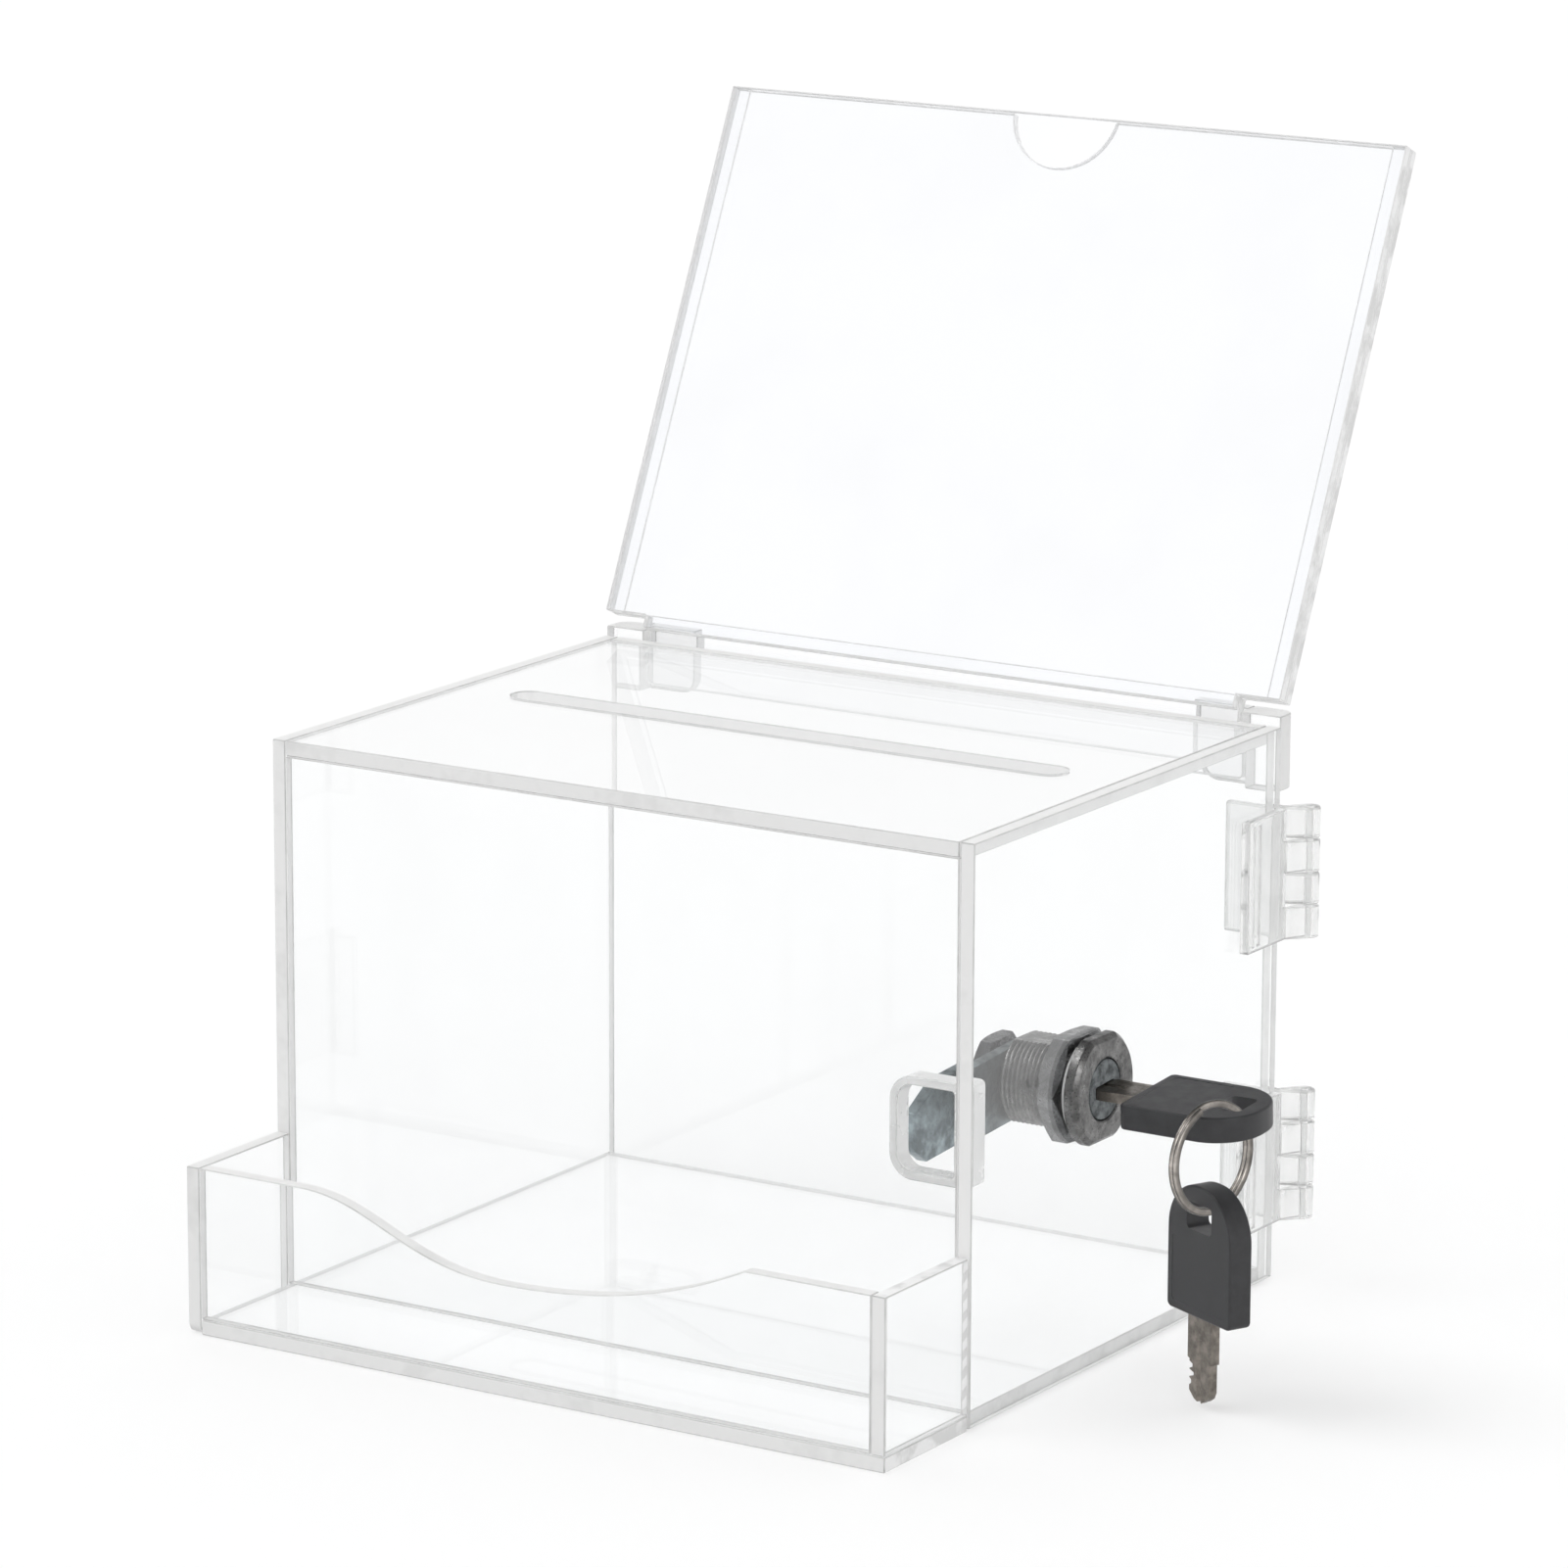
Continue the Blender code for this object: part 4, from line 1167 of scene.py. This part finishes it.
class SUGGESTIONBOX_OT_lock(bpy.types.Operator):
    """The cam lock: housing, nut, plug, cam, washer and end nut"""

    bl_idname = "suggestion_box.lock"
    bl_label = "Cam Lock"

    def execute(self, context):
        self.add_housing()
        self.add_nut()
        self.add_plug()
        self.add_cam()
        self.add_washer()
        self.add_end_nut()
        return {"FINISHED"}

    def add_housing(self):
        """Head and threaded body with flats, and a bore for the plug."""
        lock = settings().lock
        face = head_high.x
        back = face - lock_head_thickness
        head = cylinder_x(lock_head_radius, back, face, 96)
        head = with_flats(head, back - overrun, face + overrun, lock_head_flats)

        def on_face(edge):
            return min(vert.co.x for vert in edge.verts) > face - touching

        bevelled(head, lock.rim_chamfer, 1, on_face)
        bevelled(head, 0.00015, 2)
        end = back + lock_head_thickness / 2
        within_bore = bore_radius - 0.001
        root = lock_body_radius - lock.thread_depth
        profile = [(head_low.x, within_bore), (head_low.x, root)]
        for ridge in range(int((back - head_low.x) / lock.thread_pitch)):
            start = head_low.x + lock.thread_pitch * ridge
            profile += [(start + lock.thread_pitch * 0.4, lock_body_radius),
                        (start + lock.thread_pitch * 0.6, lock_body_radius),
                        (start + lock.thread_pitch, root)]
        profile += [(end, root), (end, within_bore)]
        body = with_flats(spun_x(profile), head_low.x - overrun, face + overrun, lock_body_flats)
        flare = bore_radius + lock.bore_chamfer
        bore = spun_x([
            (head_low.x - overrun, 0.0005), (head_low.x - overrun, bore_radius),
            (face - lock.bore_chamfer, bore_radius), (face, flare),
            (face + overrun, flare), (face + overrun, 0.0005),
        ])
        housing = combined(combined(head, body, "UNION"), bore, "DIFFERENCE")
        add_piece("lock_head_and_body", housing, ["casting"], ["lock_housing"], weighted=True)

    def add_nut(self):
        nut = hexagon_nut(nut_low, nut_high, (nut_high.y - nut_low.y) / 2, 0.0009)
        nut = with_bore(nut, nut_low, nut_high, lock_body_radius + 0.0002, 96)
        add_piece("clamping_nut", nut, ["nut steel"], ["lock_nut"], weighted=True)

    def add_plug(self):
        """A barrel with a keyway in its face and a stub for the cam behind."""
        low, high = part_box("lock_plug")
        chamfer = settings().lock.bore_chamfer
        shoulder = head_low.x - 0.0001
        stub_chamfer = 0.0003
        hollow = 0.0004
        barrel = spun_x([
            (low.x, hollow), (low.x, stub_radius - stub_chamfer),
            (low.x + stub_chamfer, stub_radius), (shoulder, stub_radius),
            (shoulder, plug_radius), (high.x - chamfer, plug_radius),
            (high.x, plug_radius - chamfer), (high.x, hollow),
        ])
        core = cylinder_x(0.0012, low.x, high.x, 24)
        keyway_depth = 0.0122
        half_width = 0.0034
        half_height = 0.0012
        keyway = cuboid(
            (high.x - keyway_depth, lock_y - half_width, lock_z - half_height),
            (high.x + overrun, lock_y + half_width, lock_z + half_height),
        )
        plug = combined(combined(barrel, core, "UNION"), keyway, "DIFFERENCE")
        add_piece("plug_barrel", turned(plug, lock_turned), ["plug zinc"], ["lock_plug"],
                  weighted=True)

    def add_cam(self):
        """A flat arm with a round heel, a long slanted tip above and a short one below."""
        low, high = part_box("lock_cam")
        top = lock_z + 0.0065
        bottom = lock_z - 0.008
        tip = lock_y - 0.034
        outline = [(tip, bottom + 0.0028), (tip + 0.0035, bottom)]
        outline += ring_outline((lock_y, (top + bottom) / 2), (top - bottom) / 2, 24,
                                -math.pi / 2, math.pi / 2, closed=False)
        outline += [(tip + 0.0085, top), (tip, top - 0.0042)]
        cam = with_bore(prism(outline, "YZ", low.x, high.x), low, high, stub_hole_radius)
        bevelled(cam, 0.00025, 2)
        add_piece("cam_arm", turned(cam, lock_turned), ["cam zinc"], ["lock_cam"], weighted=True)

    def add_washer(self):
        low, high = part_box("cam_washer")
        teeth = 18
        pitch = 2 * math.pi / teeth
        outline = []
        for step in range(teeth):
            for radius, begin, close in ((0.007, 0, 0.5), (0.0062, 0.6, 0.9)):
                outline += ring_outline(lock_centre, radius, 2, pitch * (step + begin),
                                        pitch * (step + close), closed=False)
        washer = with_bore(prism(outline, "YZ", low.x, high.x), low, high, stub_hole_radius)
        bevelled(washer, 0.0001)
        add_piece("toothed_washer", turned(washer, lock_turned), ["dark steel"], ["cam_washer"])

    def add_end_nut(self):
        low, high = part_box("cam_nut")
        flats = 0.007
        nut = hexagon_nut(low, high, flats * 2 / math.sqrt(3), 0.0007)
        nut = with_bore(nut, low, high, stub_hole_radius)
        add_piece("end_nut", turned(nut, lock_turned), ["dark steel"], ["cam_nut"], weighted=True)


class SUGGESTIONBOX_OT_keys(bpy.types.Operator):
    """The key in the lock, the spare key and the split ring"""

    bl_idname = "suggestion_box.keys"
    bl_label = "Keys and Ring"

    def execute(self, context):
        key_place = Matrix.Translation((key_end - key_hole_from_end, lock_y, lock_z))
        spare_hole = Matrix.Translation((
            (spare_low.x + spare_high.x) / 2,
            (spare_low.y + spare_high.y) / 2,
            spare_high.z - key_hole_from_end,
        ))
        upright = Matrix.Rotation(-math.pi / 2, 4, "Y") @ Matrix.Rotation(math.pi / 2, 4, "X")
        hanging = Matrix.Rotation(spare_key_turn, 4, "Z") @ upright
        spare_place = spare_hole @ hanging @ Matrix.Translation((0, 0, key_head_drop))
        for prefix, place in (("", lock_turned @ key_place), ("spare_", spare_place)):
            add_piece(prefix + "head_moulding", turned(self.head(), place), ["key plastic"],
                      [prefix + "key_head"], weighted=True)
            add_piece(prefix + "blade", turned(self.blade(), place), ["blade steel"],
                      [prefix + "key_blade"], weighted=True)
        self.add_ring()
        return {"FINISHED"}

    def head(self):
        """A key's plastic head, flat in XY with its ring hole at the origin."""
        keys = settings().keys
        inner = key_hole_from_end - key_head_length
        top = key_head_thickness / 2 - key_head_drop
        bottom = top - key_head_thickness

        def slab(start, end, half_width, below, above, rounds=()):
            outline = rectangle(start, -half_width, end, half_width)
            return prism(outline, "XY", below, above, rounds)

        end_round = 0.0095
        corner_round = 0.0012
        head = slab(inner, key_hole_from_end, key_head_width / 2, bottom, top,
                    [((1, 2), end_round, 16), ((0, 3), corner_round, 5)])
        bevelled(head, 0.00045, 3)
        recess_end = -0.0047
        for below, above in (
            (top - keys.border_height, top + overrun),
            (bottom - overrun, bottom + keys.border_height),
        ):
            recess = slab(inner + keys.border, recess_end, key_head_width / 2 - keys.border,
                          below, above, [((0, 1, 2, 3), 0.001, 4)])
            head = combined(head, recess, "DIFFERENCE")
        hole_reach = 0.0027
        hole_half_width = 0.004
        hole = slab(-hole_reach, hole_reach, hole_half_width, bottom - overrun, top + overrun,
                    [((0, 1, 2, 3), 0.001, 6)])
        head = combined(head, hole, "DIFFERENCE")
        pocket_end = inner + 0.0082
        pocket_half_width = 0.004
        pocket_half = 0.00115
        pocket = slab(inner - overrun, pocket_end, pocket_half_width, -pocket_half, pocket_half)
        return combined(head, pocket, "DIFFERENCE")

    def blade(self):
        """A key's steel blade, which points to -X."""
        inner = key_hole_from_end - key_head_length
        in_head = inner + 0.008
        tang = 0.00385
        half = 0.0032
        thickness = 0.002
        web = 0.0008
        collar_end = inner - key_shown_neck + 0.0002
        tip = inner - key_blade_length
        outline = [(in_head, -tang), (in_head, tang), (collar_end, tang),
                   (collar_end - 0.0003, half)]
        for from_collar, depth in ((0.0014, 0.0010), (0.0030, 0.0014), (0.0046, 0.0006)):
            place = collar_end - from_collar
            outline += [(place + 0.0007, half), (place + 0.0003, half - depth),
                        (place - 0.0003, half - depth), (place - 0.0007, half)]
        outline += [(tip + 0.0018, half), (tip + 0.0004, 0.0016), (tip, 0.0006), (tip, -0.0008),
                    (tip + 0.0012, -0.0026), (tip + 0.0024, -half),
                    (collar_end, -half), (collar_end, -tang)]
        blade = prism(outline, "XY", -thickness / 2, thickness / 2)
        for side in (-1, 1):
            start = side * web / 2
            end = side * (thickness / 2 + overrun)
            offset = 0.0003 * side
            groove = cuboid(
                (tip - overrun, offset - 0.0009, min(start, end)),
                (collar_end + 0.0042, offset + 0.0003, max(start, end)),
            )
            blade = combined(blade, groove, "DIFFERENCE")
        return bevelled(blade, 0.00012)

    def add_ring(self):
        """A split ring: nearly two turns of flattened wire, side by side."""
        middle = (ring_high.z - ring_low.z - ring_wire_radial) / 2
        gap = 0.00002
        half_axial = ring_wire_axial / 4 - gap
        half_radial = ring_wire_radial / 2 - gap
        near = half_axial + gap
        coil = bmesh.new()
        corners = [
            coil.verts.new(ring_centre + Vector((near + across, 0, middle + out)))
            for across, out in rectangle(-half_axial, -half_radial, half_axial, half_radial)
        ]
        coil.faces.new(corners)
        bmesh.ops.bevel(
            coil, geom=corners, offset=half_axial * 0.9, offset_type="OFFSET", segments=4,
            profile=0.5, affect="VERTICES", material=-1, clamp_overlap=False,
        )
        bmesh.ops.delete(coil, geom=coil.faces[:], context="FACES_ONLY")
        bmesh.ops.rotate(coil, verts=coil.verts, cent=ring_centre,
                         matrix=Matrix.Rotation(math.radians(20), 3, "X"))
        last = coil.verts[:] + coil.edges[:]
        for degrees, steps, across in ((300, 75, 0.0), (50, 14, -2 * near), (300, 75, 0.0)):
            last = bmesh.ops.spin(
                coil, geom=last, cent=ring_centre, axis=axis_x,
                dvec=Vector((across / steps, 0, 0)), angle=math.radians(degrees), steps=steps,
            )["geom_last"]
        bmesh.ops.holes_fill(coil, edges=[edge for edge in coil.edges if edge.is_boundary])
        stand = Matrix.Translation(ring_centre) @ Matrix.Rotation(ring_turn, 4, "Z")
        turned(coil, stand @ Matrix.Translation(-ring_centre))
        bmesh.ops.recalc_face_normals(coil, faces=coil.faces)
        add_piece("two_coil_ring", coil, ["ring steel"], ["split_ring"])


class SUGGESTIONBOX_OT_stage(bpy.types.Operator):
    """The floor, the white studio round it, the lamps and the camera"""

    bl_idname = "suggestion_box.stage"
    bl_label = "Stage"

    def execute(self, context):
        self.add_floor()
        self.add_surroundings()
        stage = settings().stage
        self.add_lamp("main_lamp", (-1.3, -0.5, 1.7), stage.main_lamp)
        self.add_lamp("second_lamp", (1.4, -0.9, 0.9), stage.second_lamp)
        self.add_camera()
        scene = bpy.context.scene
        scene.view_settings.view_transform = "Standard"
        scene.cycles.max_bounces = 24
        scene.cycles.transmission_bounces = 24
        scene.cycles.glossy_bounces = 12
        return {"FINISHED"}

    def seen(self, tree, path):
        """1 where the camera looks, straight or through glass."""
        return maths(tree, "MAXIMUM", path.outputs["Is Camera Ray"],
                     path.outputs["Is Transmission Ray"])

    def add_floor(self):
        """A matte floor, made paler where the camera, metal or glass sees it."""
        stage = settings().stage
        shape = bmesh.new()
        bmesh.ops.create_grid(shape, x_segments=1, y_segments=1, size=stage.floor_size / 2,
                              matrix=Matrix.Translation((0, 0, -0.0002)))
        mesh = bpy.data.meshes.new("floor")
        shape.to_mesh(mesh)
        shape.free()
        floor = bpy.data.objects.new("floor", mesh)
        bpy.context.scene.collection.objects.link(floor)
        material = bpy.data.materials.new("pale floor")
        material.use_nodes = True
        tree = material.node_tree
        tree.nodes.remove(tree.nodes["Principled BSDF"])
        matte = new_node(tree, "ShaderNodeBsdfDiffuse", Color=(*stage.floor_colour, 1))
        path = tree.nodes.new("ShaderNodeLightPath")
        seen = maths(tree, "MAXIMUM", self.seen(tree, path), path.outputs["Is Glossy Ray"])
        lift = tree.nodes.new("ShaderNodeEmission")
        tree.links.new(maths(tree, "MULTIPLY", seen, stage.floor_lift), lift.inputs["Strength"])
        both = tree.nodes.new("ShaderNodeAddShader")
        tree.links.new(matte.outputs[0], both.inputs[0])
        tree.links.new(lift.outputs[0], both.inputs[1])
        tree.links.new(both.outputs[0], tree.nodes["Material Output"].inputs["Surface"])
        mesh.materials.append(material)

    def add_surroundings(self):
        """White to the camera and to glass, a softer room for light, shaded for metal."""
        world = bpy.data.worlds.new("white studio")
        bpy.context.scene.world = world
        world.use_nodes = True
        tree = world.node_tree
        tree.nodes.clear()
        output = tree.nodes.new("ShaderNodeOutputWorld")
        room = new_node(tree, "ShaderNodeBackground", Color=(1, 1, 1, 1),
                        Strength=settings().stage.room_light)
        white = new_node(tree, "ShaderNodeBackground", Color=(1, 1, 1, 1), Strength=1.0)
        shaded = new_node(tree, "ShaderNodeBackground", Strength=1.0)
        split = tree.nodes.new("ShaderNodeSeparateXYZ")
        tree.links.new(tree.nodes.new("ShaderNodeTexCoord").outputs["Generated"], split.inputs[0])
        fall = ramped(tree, split.outputs["Z"], (0.15, (1, 1, 1)), (0.85, (0.22, 0.22, 0.22)))
        tree.links.new(fall, shaded.inputs["Color"])
        path = tree.nodes.new("ShaderNodeLightPath")
        polished = maths(tree, "MULTIPLY", path.outputs["Is Glossy Ray"],
                         path.outputs["Is Singular Ray"])
        clear = maths(tree, "MAXIMUM", self.seen(tree, path), polished)
        unseen = mixed(tree, path.outputs["Is Glossy Ray"], room.outputs[0], shaded.outputs[0])
        tree.links.new(mixed(tree, clear, unseen, white.outputs[0]), output.inputs["Surface"])

    def add_lamp(self, name, place, strength):
        """A far lamp with wide, soft light, so that it lights the floor evenly."""
        light = bpy.data.lights.new(name, "SUN")
        light.angle = math.radians(35)
        light.energy = strength
        lamp = bpy.data.objects.new(name, light)
        bpy.context.scene.collection.objects.link(lamp)
        lamp.location = place
        aim = Vector((0, 0, 0.1)) - Vector(place)
        lamp.rotation_euler = aim.to_track_quat("-Z", "Y").to_euler()

    def add_camera(self):
        stage = settings().stage
        data = bpy.data.cameras.new("camera")
        camera = bpy.data.objects.new("camera", data)
        bpy.context.scene.collection.objects.link(camera)
        data.lens = stage.camera_lens
        data.clip_end = 40
        turn = Matrix.Rotation(camera_turn, 4, "Z")
        tilt = Matrix.Rotation(math.pi / 2 - camera_tilt, 4, "X")
        roll = Matrix.Rotation(camera_roll, 4, "Z")
        camera.matrix_world = Matrix.Translation(stage.camera_place) @ turn @ tilt @ roll
        bpy.context.scene.camera = camera


class SUGGESTIONBOX_PT_panel(bpy.types.Panel):
    """Sizes, colours and steps of the suggestion box"""

    bl_idname = "SUGGESTIONBOX_PT_panel"
    bl_label = "Suggestion Box"
    bl_space_type = "VIEW_3D"
    bl_region_type = "UI"
    bl_category = "Suggestion Box"

    def draw(self, context):
        chosen = context.scene.suggestion_box
        for group in (chosen.acrylic, chosen.lock, chosen.keys, chosen.stage):
            box = self.layout.box()
            for name in group.__annotations__:
                box.prop(group, name)
        for step in steps:
            self.layout.operator(step.bl_idname)


steps = (
    SUGGESTIONBOX_OT_box,
    SUGGESTIONBOX_OT_tray,
    SUGGESTIONBOX_OT_door,
    SUGGESTIONBOX_OT_hinges,
    SUGGESTIONBOX_OT_sign,
    SUGGESTIONBOX_OT_lock,
    SUGGESTIONBOX_OT_keys,
    SUGGESTIONBOX_OT_stage,
)
classes = (
    AcrylicSettings,
    LockSettings,
    KeySettings,
    StageSettings,
    BoxSettings,
    *steps,
    SUGGESTIONBOX_PT_panel,
)


def register():
    for item in classes:
        bpy.utils.register_class(item)
    bpy.types.Scene.suggestion_box = bpy.props.PointerProperty(type=BoxSettings)


def unregister():
    del bpy.types.Scene.suggestion_box
    for item in reversed(classes):
        bpy.utils.unregister_class(item)


def main():
    register()
    for step in steps:
        family, name = step.bl_idname.split(".")
        getattr(getattr(bpy.ops, family), name)()


if __name__ == "__main__":
    main()
